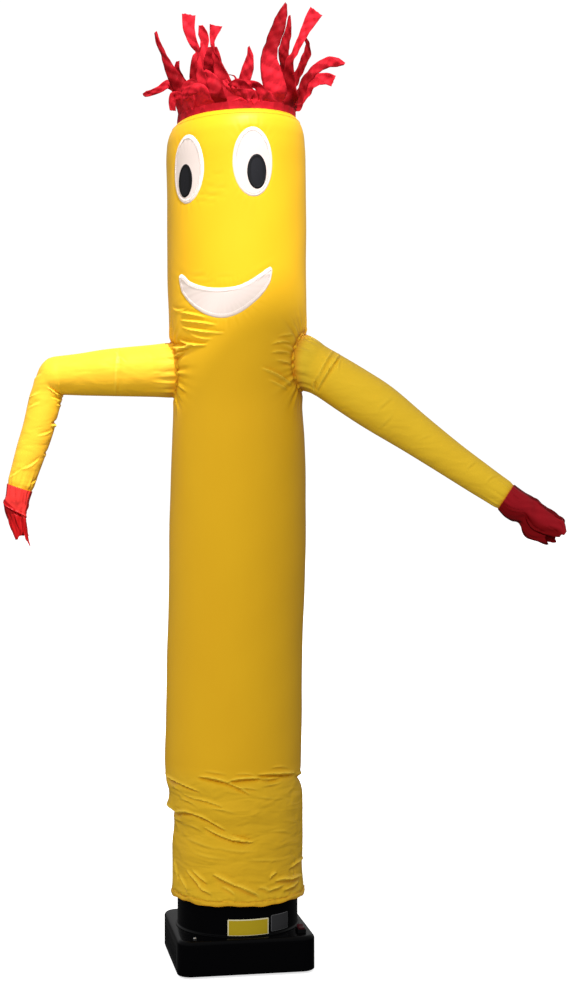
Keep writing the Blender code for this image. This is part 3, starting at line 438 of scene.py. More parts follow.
# Hands, from the wrist seam to the finger tips: reach, z, half width in the arm's plane, half
# depth across it, and slope.
LEFT_HAND = (
    # reach   z       width   depth   slope
    (0.4179, 0.9036, 0.0246, 0.0246, -71.5),
    (0.4222, 0.8830, 0.0228, 0.0215, -76.0),
    (0.4252, 0.8700, 0.0238, 0.0170, -84.0),
    (0.4243, 0.8530, 0.0195, 0.0130, -92.0),
    (0.4207, 0.8310, 0.0168, 0.0100, -99.0),
    (0.4147, 0.8090, 0.0142, 0.0085, -102.0),
    (0.4080, 0.7885, 0.0122, 0.0080, -106.0),
)
RIGHT_HAND = (
    # reach   z       width   depth   slope
    (0.5109, 0.8856, 0.0272, 0.0272, -33.0),
    (0.5249, 0.8732, 0.0294, 0.0262, -35.0),
    (0.5383, 0.8652, 0.0292, 0.0235, -35.0),
    (0.5515, 0.8590, 0.0274, 0.0200, -35.0),
    (0.5595, 0.8477, 0.0325, 0.0175, -35.0),
    (0.5709, 0.8360, 0.0358, 0.0160, -35.0),
    (0.5880, 0.8273, 0.0328, 0.0145, -35.0),
    (0.6038, 0.8203, 0.0296, 0.0130, -34.0),
    (0.6150, 0.8095, 0.0200, 0.0110, -34.0),
)
LEFT_HAND_FOLDS = (
    # along1 angle1 along2 angle2 width  depth    lip
    (1.28, 112.0, 3.60, -100.0, 0.0030, -0.0030, 0.0026),
    (0.10, 10.0, 1.60, 2.0, 0.0026, -0.0016, 0.0010),
    (0.30, -34.0, 2.10, -42.0, 0.0030, -0.0018, 0.0012),
    (0.10, 58.0, 1.10, 66.0, 0.0026, -0.0012, 0.0008),
    (2.30, 66.0, 5.00, 40.0, 0.0030, -0.0020, 0.0014),
    (2.60, 16.0, 4.60, -4.0, 0.0030, -0.0016, 0.0012),
    (3.00, -52.0, 5.60, -58.0, 0.0030, -0.0024, 0.0012),
    (4.40, -20.0, 5.30, 20.0, 0.0026, -0.0016, 0.0014),
    (1.20, 200.0, 3.00, 250.0, 0.0032, -0.0026, 0.0018),
    (2.80, 190.0, 5.00, 178.0, 0.0032, -0.0020, 0.0014),
)
RIGHT_HAND_FOLDS = (
    # along1 angle1 along2 angle2 width  depth    lip
    (2.40, -16.0, 6.20, -20.0, 0.0034, -0.0030, 0.0022),
    (0.20, -26.0, 2.60, -6.0, 0.0034, -0.0018, 0.0014),
    (0.10, 30.0, 1.60, 26.0, 0.0030, -0.0012, 0.0010),
    (2.20, -84.0, 3.60, -50.0, 0.0034, -0.0030, 0.0018),
    (3.80, -58.0, 6.00, -50.0, 0.0030, -0.0014, 0.0012),
    (5.60, 10.0, 7.60, 2.0, 0.0030, -0.0020, 0.0014),
    (6.20, 44.0, 7.60, 30.0, 0.0030, -0.0016, 0.0012),
    (1.00, 60.0, 4.60, 54.0, 0.0030, -0.0010, 0.0008),
    (0.20, 190.0, 3.60, 216.0, 0.0034, -0.0024, 0.0018),
    (3.00, 150.0, 6.00, 170.0, 0.0032, -0.0022, 0.0014),
)

# Fingers: turns round the hand between which each is cut, in degrees, the share of the strips'
# length that it has, how much of its width it loses to its tip, and the slant of its end.
LEFT_FINGERS = (
    # first   last    length taper slant
    (-33.75, 75.0, 0.72, 0.10, 0.10),
    (75.0, 146.25, 0.68, 0.15, -0.15),
    (146.25, 255.0, 0.70, 0.12, 0.12),
    (255.0, 326.25, 1.00, 0.00, -0.12),
)
RIGHT_FINGERS = (
    # first   last    length taper slant
    (-26.25, 60.0, 1.00, 0.10, 0.12),
    (60.0, 150.0, 0.80, 0.05, -0.08),
    (150.0, 243.75, 0.88, 0.10, 0.10),
    (243.75, 333.75, 0.76, 0.06, -0.10),
)

# Face: azimuth, height, half width in degrees, half height.
EYES = {
    "eye_white_left": (-31.0, 1.4990, 16.7, 0.0650),
    "eye_white_right": (26.2, 1.5015, 16.6, 0.0640),
}
PUPILS = {
    "pupil_left": (-32.8, 1.4775, 7.7, 0.0315),
    "pupil_right": (29.0, 1.4832, 8.0, 0.0320),
}
MOUTH = (
    # angle  lower   upper
    (-42.6, 1.2960, 1.3005),
    (-40.0, 1.2740, 1.3035),
    (-36.0, 1.2610, 1.3000),
    (-30.0, 1.2470, 1.2890),
    (-19.0, 1.2290, 1.2780),
    (-8.0, 1.2185, 1.2725),
    (3.0, 1.2163, 1.2715),
    (14.6, 1.2250, 1.2760),
    (24.0, 1.2400, 1.2860),
    (32.6, 1.2580, 1.2990),
    (37.9, 1.2740, 1.3075),
    (41.2, 1.2900, 1.3095),
    (42.2, 1.3010, 1.3065),
)

# Streamers: azimuth of the root, painted lightness at the root and at the tip, which stands for the
# light and shade on each strip, and knots along the strip's middle line.  A knot is (across, height,
# forward, half width, turn) in a plane turned VIEW_TURN from the front: across is to the right,
# forward is towards the viewer, turn is 0 where the strip faces the viewer.
STREAMERS = (
    (7.0, 0.35, 0.90, ((-0.018, 1.643, 0.112, 0.0157, 10), (-0.031, 1.681, 0.108, 0.0111, 25),
     (-0.041, 1.712, 0.105, 0.0056, 60), (-0.043, 1.731, 0.104, 0.0056, 40),
     (-0.039, 1.753, 0.104, 0.0102, 5), (-0.037, 1.763, 0.104, 0.0121, -10))),
    (29.5, 0.60, 0.80, ((0.030, 1.625, 0.125, 0.0129, 0), (0.014, 1.630, 0.128, 0.0083, 30),
     (-0.003, 1.635, 0.124, 0.0074, 50), (-0.014, 1.645, 0.120, 0.0055, 20),
     (-0.022, 1.659, 0.118, 0.0046, 10))),
    (52.0, 0.95, 0.05, ((0.074, 1.640, 0.095, 0.0214, 0), (0.067, 1.670, 0.100, 0.0205, -5),
     (0.060, 1.698, 0.102, 0.0165, 15), (0.064, 1.724, 0.100, 0.0160, 30),
     (0.076, 1.755, 0.098, 0.0145, 20), (0.086, 1.785, 0.096, 0.0098, 10),
     (0.094, 1.809, 0.095, 0.0009, 10))),
    (74.5, 0.15, 0.90, ((0.102, 1.645, 0.060, 0.0140, 20), (0.099, 1.676, 0.062, 0.0120, 25),
     (0.099, 1.702, 0.064, 0.0095, 30), (0.111, 1.724, 0.066, 0.0070, 30),
     (0.127, 1.757, 0.068, 0.0085, 10), (0.140, 1.782, 0.068, 0.0122, 0),
     (0.152, 1.801, 0.068, 0.0141, 0))),
    (97.0, 0.25, 0.70, ((0.120, 1.650, 0.020, 0.0100, 40), (0.128, 1.677, 0.022, 0.0100, 30),
     (0.141, 1.693, 0.024, 0.0100, 20), (0.158, 1.707, 0.026, 0.0100, 10), (0.175, 1.714, 0.026, 0.0105, 0),
     (0.192, 1.713, 0.026, 0.0085, -10), (0.207, 1.710, 0.026, 0.0014, 0))),
    (119.5, 0.50, 0.85, ((0.118, 1.652, -0.020, 0.0145, 30), (0.130, 1.668, -0.015, 0.0145, 20),
     (0.141, 1.680, -0.010, 0.0125, 25), (0.155, 1.689, -0.008, 0.0120, 10),
     (0.171, 1.690, -0.008, 0.0115, 0), (0.187, 1.685, -0.008, 0.0110, 0))),
    (142.0, 0.15, 0.05, ((0.097, 1.666, -0.060, 0.0127, 60), (0.111, 1.696, -0.055, 0.0107, 40),
     (0.124, 1.724, -0.050, 0.0088, 30), (0.134, 1.748, -0.048, 0.0088, 20),
     (0.136, 1.768, -0.048, 0.0058, 50), (0.130, 1.780, -0.048, 0.0029, 40))),
    (164.5, 0.10, 0.20, ((0.066, 1.666, -0.080, 0.0118, 0), (0.081, 1.699, -0.070, 0.0088, 30),
     (0.089, 1.728, -0.060, 0.0105, 30), (0.088, 1.758, -0.055, 0.0110, 20),
     (0.095, 1.785, -0.052, 0.0085, 20), (0.099, 1.807, -0.050, 0.0049, 20),
     (0.100, 1.827, -0.050, 0.0015, 0))),
    (-173.0, 0.45, 0.55, ((0.004, 1.679, -0.100, 0.0089, 10), (0.010, 1.705, -0.095, 0.0119, 0),
     (0.018, 1.732, -0.090, 0.0118, 0), (0.022, 1.755, -0.088, 0.0069, 10),
     (0.019, 1.777, -0.088, 0.0012, 10))),
    (-150.5, 0.30, 0.40, ((-0.035, 1.678, -0.095, 0.0099, 20), (-0.031, 1.704, -0.088, 0.0059, 50),
     (-0.021, 1.716, -0.082, 0.0030, 70), (-0.009, 1.713, -0.078, 0.0025, 60),
     (-0.003, 1.700, -0.075, 0.0029, 30), (-0.005, 1.686, -0.072, 0.0039, 10))),
    (-128.0, 0.10, 0.30, ((-0.066, 1.650, 0.000, 0.0190, 5), (-0.052, 1.672, 0.060, 0.0235, 0),
     (-0.050, 1.694, 0.084, 0.0240, 0), (-0.051, 1.712, 0.090, 0.0205, 0),
     (-0.052, 1.727, 0.092, 0.0150, 0))),
    (-105.5, 0.15, 0.10, ((-0.102, 1.662, -0.045, 0.0117, 30), (-0.103, 1.684, -0.040, 0.0087, 20),
     (-0.113, 1.702, -0.035, 0.0078, 40), (-0.118, 1.717, -0.030, 0.0058, 20),
     (-0.116, 1.732, -0.030, 0.0029, 10))),
    (-83.0, 0.40, 0.25, ((-0.109, 1.654, -0.010, 0.0125, 50), (-0.118, 1.671, 0.000, 0.0106, 20),
     (-0.133, 1.677, 0.005, 0.0086, 10), (-0.148, 1.666, 0.010, 0.0067, 0),
     (-0.163, 1.659, 0.012, 0.0057, 20), (-0.175, 1.656, 0.012, 0.0057, 0),
     (-0.178, 1.660, 0.012, 0.0038, 0))),
    (-60.5, 0.05, 0.30, ((-0.102, 1.646, 0.040, 0.0142, 20), (-0.113, 1.671, 0.045, 0.0142, 0),
     (-0.128, 1.696, 0.050, 0.0094, 10), (-0.139, 1.722, 0.052, 0.0057, 30),
     (-0.149, 1.745, 0.052, 0.0047, 20), (-0.154, 1.767, 0.052, 0.0024, 0))),
    (-38.0, 0.15, 0.95, ((-0.083, 1.637, 0.075, 0.0122, 20), (-0.081, 1.667, 0.078, 0.0084, 30),
     (-0.077, 1.700, 0.080, 0.0084, 10), (-0.072, 1.720, 0.080, 0.0075, 50),
     (-0.081, 1.737, 0.080, 0.0084, 20), (-0.089, 1.763, 0.080, 0.0112, 0),
     (-0.089, 1.793, 0.080, 0.0131, 0))),
    (-15.5, 0.50, 0.75, ((-0.050, 1.627, 0.105, 0.0121, 10), (-0.061, 1.652, 0.108, 0.0111, 20),
     (-0.067, 1.683, 0.100, 0.0084, 40), (-0.062, 1.711, 0.095, 0.0065, 30),
     (-0.058, 1.734, 0.092, 0.0084, 10), (-0.062, 1.751, 0.090, 0.0093, 20),
     (-0.067, 1.768, 0.090, 0.0028, 0))),
    (-55.0, 0.50, 0.20, ((-0.106, 1.635, 0.070, 0.0094, 10), (-0.117, 1.636, 0.080, 0.0084, 20),
     (-0.120, 1.622, 0.085, 0.0065, 0), (-0.118, 1.605, 0.085, 0.0056, 10))),
    (-20.0, 0.90, 0.50, ((-0.060, 1.634, 0.120, 0.0111, 30), (-0.073, 1.640, 0.125, 0.0101, 0),
     (-0.088, 1.633, 0.125, 0.0083, 20), (-0.099, 1.623, 0.120, 0.0065, 0))),
    (18.0, 0.90, 0.40, ((0.030, 1.622, 0.118, 0.0120, 10), (0.020, 1.640, 0.124, 0.0110, 45),
     (0.004, 1.649, 0.126, 0.0085, 10), (-0.013, 1.641, 0.124, 0.0070, 30))),
    (-44.0, 0.90, 0.20, ((-0.087, 1.628, 0.098, 0.0100, 0), (-0.096, 1.646, 0.100, 0.0080, 40),
     (-0.083, 1.656, 0.102, 0.0075, 10), (-0.070, 1.650, 0.104, 0.0050, 30))),
    (-8.0, 0.15, 0.80, ((-0.036, 1.632, 0.122, 0.0140, 0), (-0.044, 1.655, 0.118, 0.0130, 20),
     (-0.052, 1.668, 0.114, 0.0080, 40), (-0.060, 1.676, 0.112, 0.0030, 20))),
    (45.0, 0.80, 0.50, ((0.052, 1.630, 0.114, 0.0110, 0), (0.040, 1.646, 0.118, 0.0080, 40),
     (0.022, 1.650, 0.120, 0.0055, 10), (0.008, 1.642, 0.120, 0.0040, 20))),
)
STREAMER_PITCH = 22.5
BAND_HEIGHT = 0.014
BAND_SHADE = 0.35           # lightness of the band
STRIP_COLUMNS = 8           # of faces across a streamer
STRIP_ROWS = 96
CUT_LENGTH = 0.35           # how far a streamer's end is cut slanting, counted in knots

LABEL_CORNER = 0.0022
LABEL_LIFT = 0.0004         # thickness of a label

# Blank labels on the collar: azimuths, lower and upper edge, border.
LABELS = {
    "collar_label_yellow": (3.4, 42.8, 0.0720, 0.1035, 0.0022),
    "collar_label_grey": (45.5, 67.5, 0.0760, 0.1065, 0.0008),
}

# ---------------------------------------------------------------- grids

TURN = 2 * math.pi


def read_table(table, at):
    """Cubic curve through a table's rows, whose first column is the parameter, at any places."""
    rows = np.array(table)
    key, values = rows[:, 0], rows[:, 1:]
    slope = np.gradient(values, key, axis=0)
    at = np.clip(at, key[0], key[-1])
    before = np.clip(np.searchsorted(key, at, side="right") - 1, 0, len(key) - 2)
    span = (key[before + 1] - key[before])[..., None]
    t = (at - key[before])[..., None] / span
    return ((2 * t**3 - 3 * t**2 + 1) * values[before] + (t**3 - 2 * t**2 + t) * span * slope[before]
            + (3 * t**2 - 2 * t**3) * values[before + 1] + (t**3 - t**2) * span * slope[before + 1])


def count_rows(table):
    """The same table with its row number as the parameter."""
    return tuple((float(number), *row) for number, row in enumerate(table))


def smooth(low, high, value):
    """0 below low and 1 above high, with the smooth step 3t^2 - 2t^3 between."""
    t = np.clip((value - low) / (high - low), 0.0, 1.0)
    return t * t * (3 - 2 * t)


def bell(value, width):
    """exp(-(value / width)^2)."""
    return np.exp(-(value / width) ** 2)


def turns_round(count):
    """Angles in radians, evenly round a circle from 0."""
    return np.arange(count) * TURN / count


def eased(count):
    """count shares from 0 to 1, a little closer together at both ends."""
    share = np.linspace(0.0, 1.0, count)
    return 0.5 * share + 0.5 * smooth(0.0, 1.0, share)


def running(steps):
    """The running sum down the first axis, from 0."""
    return np.concatenate([np.zeros_like(steps[:1]), np.cumsum(steps, axis=0)])


def outwards(azimuth):
    """Level directions away from the model's middle at azimuths in radians."""
    return np.stack([np.sin(azimuth), -np.cos(azimuth), 0 * azimuth], axis=-1)


def zigzag_wave(value):
    """A wave of straight slopes between -1 and 1 with a period of 1."""
    return 4 * np.abs(value - np.floor(value + 0.5)) - 1


def unit(vectors):
    """Vectors divided by their own lengths."""
    return vectors / np.maximum(np.linalg.norm(vectors, axis=-1, keepdims=True), 1e-12)


def grid(points, round_again=False, flip=False, kept=None, uv=None, marks=None, slot=0):
    """Faces on a grid of points, rows by columns by 3: each joins a point to its neighbours at
    row + 1 and column + 1.

    round_again joins the last column to the first; kept marks the faces that stay; uv is rows by
    columns by 2, with one column more where the grid goes round; marks are named point values;
    slot is the number of the material.
    """
    rows, columns = points.shape[:2]
    across = columns if round_again else columns - 1
    row, column = np.meshgrid(np.arange(rows - 1), np.arange(across), indexing="ij")
    places = np.stack([np.stack([row, row, row + 1, row + 1], axis=2),
                       np.stack([column, column + 1, column + 1, column], axis=2)], axis=3)
    if kept is not None:
        places = places[kept]
    places = places.reshape(-1, 4, 2)
    corners = places[..., 0] * columns + places[..., 1] % columns
    if flip:
        corners, places = corners[:, ::-1], places[:, ::-1]
    if uv is None:
        flat = np.zeros(places.shape)
    else:
        flat = uv[places[..., 0], places[..., 1]]
    used, index = np.unique(corners, return_inverse=True)
    values = {mark: np.broadcast_to(value, (rows, columns)).ravel()[used]
              for mark, value in (marks or {}).items()}
    return points.reshape(-1, 3)[used], index.reshape(-1, 4), flat, values, slot


def make(name, grids, materials, sharp=50.0, merge=0.0):
    """One mesh from one or more grids, shaded smooth up to an angle, its equal points merged."""
    starts = np.cumsum([0] + [len(part[0]) for part in grids])
    points = np.concatenate([part[0] for part in grids])
    corners = np.concatenate([part[1] + start for part, start in zip(grids, starts)])
    flat = np.concatenate([part[2] for part in grids])
    mesh = bpy.data.meshes.new(name)
    mesh.vertices.add(len(points))
    mesh.vertices.foreach_set("co", points.astype(np.float32).ravel())
    mesh.loops.add(corners.size)
    mesh.loops.foreach_set("vertex_index", corners.astype(np.int32).ravel())
    mesh.polygons.add(len(corners))
    mesh.polygons.foreach_set("loop_start", np.arange(0, corners.size, 4, dtype=np.int32))
    slots = np.concatenate([np.full(len(part[1]), part[4], dtype=np.int32) for part in grids])
    mesh.polygons.foreach_set("material_index", slots)
    mesh.uv_layers.new(name="UVMap").data.foreach_set("uv", flat.astype(np.float32).ravel())
    for mark in sorted({mark for part in grids for mark in part[3]}):
        values = [part[3].get(mark, np.zeros(len(part[0]))) for part in grids]
        attribute = mesh.attributes.new(mark, 'FLOAT', 'POINT')
        attribute.data.foreach_set("value", np.concatenate(values).astype(np.float32))
    mesh.update(calc_edges=True)
    mesh.validate()
    if merge:
        shape = bmesh.new()
        shape.from_mesh(mesh)
        bmesh.ops.remove_doubles(shape, verts=shape.verts, dist=merge)
        shape.to_mesh(mesh)
        shape.free()
    for material in materials:
        mesh.materials.append(material)
    mesh.shade_smooth()
    mesh.set_sharp_from_angle(angle=math.radians(sharp))
    item = bpy.data.objects.new(name, mesh)
    bpy.context.scene.collection.objects.link(item)
    return item


def thicken(item, thickness, offset=0.0):
    """Give a sheet its thickness, outwards for offset 1 and inwards for -1."""
    wall = item.modifiers.new("thickness", 'SOLIDIFY')
    wall.thickness = thickness
    wall.offset = offset


def tube(path, normals, radius, marks=None, sides=8):
    """A round cord along a closed path: rings square to it, of one radius or one for each point."""
    along = unit(np.roll(path, -1, axis=0) - np.roll(path, 1, axis=0))
    up = unit(normals - along * (normals * along).sum(axis=-1, keepdims=True))
    side = np.cross(along, up)
    turn = turns_round(sides)
    radius = np.broadcast_to(radius, len(path))[:, None, None]
    rings = (path[:, None] + radius * (np.cos(turn)[None, :, None] * side[:, None]
                                       + np.sin(turn)[None, :, None] * up[:, None]))
    rings = np.concatenate([rings, rings[:1]])
    return grid(rings, round_again=True, flip=True, marks=marks)


def stitches(starts, ends, normals, radius, slot=0):
    """Threads from starts to ends, each a spindle of rings that arches up along its normal."""
    share = np.array([0.0, 0.12, 0.35, 0.65, 0.88, 1.0])
    girth = np.array([0.05, 0.75, 1.0, 1.0, 0.75, 0.05])
    sides = 6
    turn = turns_round(sides)
    along = unit(ends - starts)
    up = unit(normals - along * (normals * along).sum(axis=-1, keepdims=True))
    side = np.cross(along, up)
    middle = starts[:, None] + (ends - starts)[:, None] * share[:, None]
    middle = middle + up[:, None] * (np.sin(share * math.pi) * radius * 1.2)[:, None]
    ring = np.cos(turn)[:, None] * side[:, None] + np.sin(turn)[:, None] * up[:, None]
    points = middle[:, :, None] + (radius * girth)[None, :, None, None] * ring[:, None]
    points = points.reshape(-1, sides, 3)
    kept = np.ones((len(points) - 1, sides), dtype=bool)
    kept[len(share) - 1::len(share)] = False
    return grid(points, round_again=True, flip=True, kept=kept, slot=slot)


def normals_of(points):
    """Unit normals of a grid that goes round again: across its rows cross along its columns."""
    across = np.roll(points, -1, axis=1) - np.roll(points, 1, axis=1)
    return unit(np.cross(across, np.gradient(points, axis=0)))


def fold_field(across, along, folds, turn):
    """(height, crease) of folds on an unrolled wall; turn is the length once round it.

    A fold (x1, y1, x2, y2, width, depth, lip) is a bowed line.  Its height is
    depth * exp(-sqrt((d / w)^2 + 0.03)) + lip * exp(-((d - 1.5 w) / 0.8 w)^2), d the signed
    distance to the line, all faded by (4 t (1 - t))^0.7 of the share t along it; w narrows towards
    the ends too.  The second value is painted shade and painted highlight: near 1, a painted shade,
    in a narrow line along the bottom of a deep trough, and near -1, a painted highlight, along a high lip.
    """
    height = np.zeros(np.broadcast(across, along).shape)
    crease = np.zeros_like(height)
    for number, (x1, y1, x2, y2, width, depth, lip) in enumerate(folds):
        middle = (x1 + x2) / 2
        x = middle + (across - middle + turn / 2) % turn - turn / 2
        dx, dy = x2 - x1, y2 - y1
        length = math.hypot(dx, dy)
        share = ((x - x1) * dx + (along - y1) * dy) / length**2
        arch = np.clip(4 * share * (1 - share), 0.0, 1.0)
        side = (dx * (along - y1) - dy * (x - x1)) / length
        side = side + BOW * length * math.sin(2.3 + 7.1 * number) * arch
        fade = arch**0.7
        wide = FOLD_WIDTH * width * (0.45 + 0.55 * fade)
        trough = np.exp(-np.sqrt((side / wide) ** 2 + 0.03)) * fade
        height += FOLD_DEPTH * (depth * trough + lip * bell(side - 1.5 * wide, 0.8 * wide) * fade)
        # painted shade along the bottom of the trough, painted highlight along the lip
        crease -= depth * bell(side, 0.5 * wide) * fade / DEEP_FOLD
        crease -= lip * bell(side - 1.5 * wide, 0.6 * wide) * fade / HIGH_LIP
    return height, np.clip(crease, -1.0, 1.0)


# ---------------------------------------------------------------- trunk

def line_distance(across, along, outline):
    """Distance from places on the unrolled wall to a closed line of (across, along) corners."""
    nearest = np.full(np.broadcast(across, along).shape, np.inf)
    for (x1, y1), (x2, y2) in zip(outline, np.roll(outline, -1, axis=0)):
        dx, dy = x2 - x1, y2 - y1
        share = np.clip(((across - x1) * dx + (along - y1) * dy) / (dx * dx + dy * dy), 0.0, 1.0)
        nearest = np.minimum(nearest, np.hypot(across - x1 - share * dx, along - y1 - share * dy))
    return nearest


def oval(shape, turns):
    """Azimuth in radians and height at turns round an oval of the face."""
    azimuth, height, half_angle, half_height = shape
    return (np.radians(azimuth + half_angle * np.cos(turns)), height + half_height * np.sin(turns))


def face_outlines():
    """Outlines of the eye whites and the mouth on the unrolled wall."""
    turns = np.linspace(0.0, TURN, 36, endpoint=False)
    outlines = []
    for shape in EYES.values():
        azimuth, height = oval(shape, turns)
        outlines.append(np.stack([azimuth * WALL_RADIUS, height], axis=1))
    rows = np.array(MOUTH)
    across = np.radians(rows[:, 0]) * WALL_RADIUS
    lower = np.stack([across, rows[:, 1]], axis=1)
    upper = np.stack([across, rows[:, 2]], axis=1)
    outlines.append(np.concatenate([lower, upper[::-1]]))
    return outlines


def relief(azimuth, height):
    """(height, crease) of the trunk's folds and wrinkles, its slow billows, and the puckers round
    the sewn face: sines along the seam that die away as (d / l) exp(1 - d / l) from it."""
    across = azimuth * WALL_RADIUS
    lines = [(math.radians(a1) * WALL_RADIUS, z1, math.radians(a2) * WALL_RADIUS, z2, width, depth, lip)
             for a1, z1, a2, z2, width, depth, lip in TRUNK_FOLDS + TRUNK_WRINKLES]
    rise, crease = fold_field(across, height, lines, TURN * WALL_RADIUS)
    billow = (np.sin(3 * azimuth + 9.0 * height + 0.7) * np.sin(17.0 * height + 2 * azimuth)
              + 0.6 * np.sin(5 * azimuth - 23.0 * height + 1.9) * np.sin(31.0 * height - azimuth))
    rise = rise + BILLOW * billow
    if np.max(height) > FACE_LOW:
        for outline in face_outlines():
            distance = line_distance(across, height, outline)
            middle = outline.mean(axis=0)
            turn = np.arctan2(height - middle[1], across - middle[0])
            share = distance / FACE_PUCKER_REACH
            wave = np.sin(FACE_PUCKERS * turn) + 0.6 * np.sin(1.7 * FACE_PUCKERS * turn + 1.0)
            rise = rise + FACE_PUCKER * share * np.exp(1 - share) * wave
            rise = rise - FACE_DIP * bell(distance, FACE_DIP_WIDTH)
    return rise, crease


def wall_place(points):
    """Azimuth, unrolled height and distance from the trunk's middle of points near its wall."""
    height = points[..., 2]
    for _ in range(4):
        lay = read_table(TRUNK, height)
        height = points[..., 2] - lay[..., 2] * (points[..., 0] - lay[..., 1])
    sideways = points[..., 0] - lay[..., 1]
    return np.arctan2(sideways, -points[..., 1]), height, np.hypot(sideways, points[..., 1])


def arm_frame(azimuth):
    """Directions of an arm's plane: outwards, and to the front."""
    turn = math.radians(azimuth)
    outwards = np.array([math.sin(turn), -math.cos(turn), 0.0])
    front = np.array([math.cos(turn), math.sin(turn), 0.0])
    return outwards, front if front[1] < 0 else -front


def run_of(table, along, back=False):
    """Length along a sleeve's middle line at places counted in rows; back turns it round."""
    reach, z = np.array(table)[:, :2].T
    length = running(np.hypot(np.diff(reach), np.diff(z)))
    number = np.arange(len(table))
    return np.interp(along, length, number) if back else np.interp(along, number, length)


def sleeve(table, azimuth, along, turn, folds=(), offset=0.0):
    """(points, crease) of a sleeve at places along its table, counted in rows, and turns round it.

    The ring at each place is an ellipse square to the table's slope:
    middle + depth * cos(turn) * front + width * sin(turn) * above.
    """
    outwards, front = arm_frame(azimuth)
    values = read_table(count_rows(table), along)
    reach, z, width = values[..., 0], values[..., 1], values[..., 2]
    depth = values[..., -2]
    slope = np.radians(values[..., -1])[..., None]
    middle = reach[..., None] * outwards + z[..., None] * np.array([0.0, 0.0, 1.0])
    above = np.cos(slope) * np.array([0.0, 0.0, 1.0]) - np.sin(slope) * outwards
    girth = np.array(table)[:, 2].mean()
    lines = [(math.radians(a1) * girth, run_of(table, s1), math.radians(a2) * girth, run_of(table, s2),
              wide, deep, lip) for s1, a1, s2, a2, wide, deep, lip in folds]
    rise, crease = fold_field(turn * girth, run_of(table, along), lines, TURN * girth)
    rise = rise + offset
    points = (middle + ((depth + rise) * np.cos(turn))[..., None] * front
              + ((width + rise) * np.sin(turn))[..., None] * above)
    return points, crease


def armhole(side):
    """Where a sleeve's lines meet the trunk's wall, by halving: (along, points, places).

    places are (across, height) on the unrolled wall.
    """
    if side in SEAMS:
        return SEAMS[side]
    azimuth, table, folds = ARMS[side]
    turn = turns_round(SLEEVE_COLUMNS)
    low, high = np.zeros(SLEEVE_COLUMNS), np.full(SLEEVE_COLUMNS, ROOT_LIMIT)
    for _ in range(22):
        along = (low + high) / 2
        points = sleeve(table, azimuth, along, turn, folds)[0]
        place, height, reach = wall_place(points)
        wall_reach = read_table(TRUNK, height)[..., 0] + relief(place, height)[0] - SEAM_DIP
        inside = reach < wall_reach
        low, high = np.where(inside, along, low), np.where(inside, high, along)
    SEAMS[side] = along, points, np.stack([place * WALL_RADIUS, height], axis=1)
    return SEAMS[side]


def round_armhole(across, height, side):
    """Distance outside an armhole's seam, the angle round it, and the seam's place there."""
    places = armhole(side)[2]
    middle = places.mean(axis=0)
    spokes = places - middle
    turn = np.arctan2(height - middle[1], across - middle[0])
    edge = np.interp(turn, np.arctan2(spokes[:, 1], spokes[:, 0]), np.hypot(*spokes.T), period=TURN)
    distance = np.hypot(across - middle[0], height - middle[1]) - edge
    return distance, turn, middle[0] + edge * np.cos(turn), middle[1] + edge * np.sin(turn)


def hem_edge(azimuth):
    """Height of the upper edge of the turned hem, which waves along it."""
    return (HEM_Z + HEM_TURN + EDGE_WAVES[0] * np.sin(11 * azimuth + 0.6)
            + EDGE_WAVES[1] * np.sin(29 * azimuth))


def wall(azimuth, height, offset=0.0, marks=False):
    """Points of the trunk's cloth: its radius and relief, drawn in and puckered at the armholes.

    A pucker at distance d from the seam is (d / l) exp(1 - d / l) times a wave round the armhole.
    A trough of depth r is held to m tanh(r / m), with a small m where the collar is inside.
    """
    lay = read_table(TRUNK, height)
    rise, crease = relief(azimuth, height)
    near = np.zeros_like(rise)
    for side in ARMS:
        distance, turn, _, _ = round_armhole(azimuth * WALL_RADIUS, height, side)
        distance = np.maximum(distance, 0.0)
        share = distance / PUCKER_REACH
        wave = zigzag_wave((PUCKERS * turn + 0.4) / TURN) * (0.6 + 0.4 * np.sin(5 * turn + 1.0))
        wave = wave + 0.5 * zigzag_wave(38 * turn / TURN + 0.3)
        rise = rise - SEAM_DIP * bell(distance, SEAM_DIP_WIDTH)
        rise = rise + PUCKER * share * np.exp(1 - share) * wave
        near = np.maximum(near, bell(distance, NEAR_SEAM))
        # painted shade and painted highlight on the puckers round the armhole
        crease = crease - 0.30 * share * np.exp(1 - share) * wave
    edge = hem_edge(azimuth)
    rise = rise - HEM_GROOVE * bell(height - edge, 0.0018)
    rise = rise + HEM_BULGE * bell(height - edge + 0.5 * HEM_TURN, 0.5 * HEM_TURN)
    rise = rise + HEM_PUCKER * zigzag_wave(61 * azimuth / TURN) * bell(height - edge, 0.006)
    deepest = np.where(height < COLLAR_REACH, DEEPEST_AT_COLLAR, DEEPEST)
    rise = np.where(rise < 0, -deepest * np.tanh(-rise / deepest), rise)
    reach = lay[..., 0] + rise + offset
    x = lay[..., 1] + reach * np.sin(azimuth)
    z = height + lay[..., 2] * reach * np.sin(azimuth)
    points = np.stack([x, -reach * np.cos(azimuth), z], axis=-1)
    return (points, crease, near) if marks else points


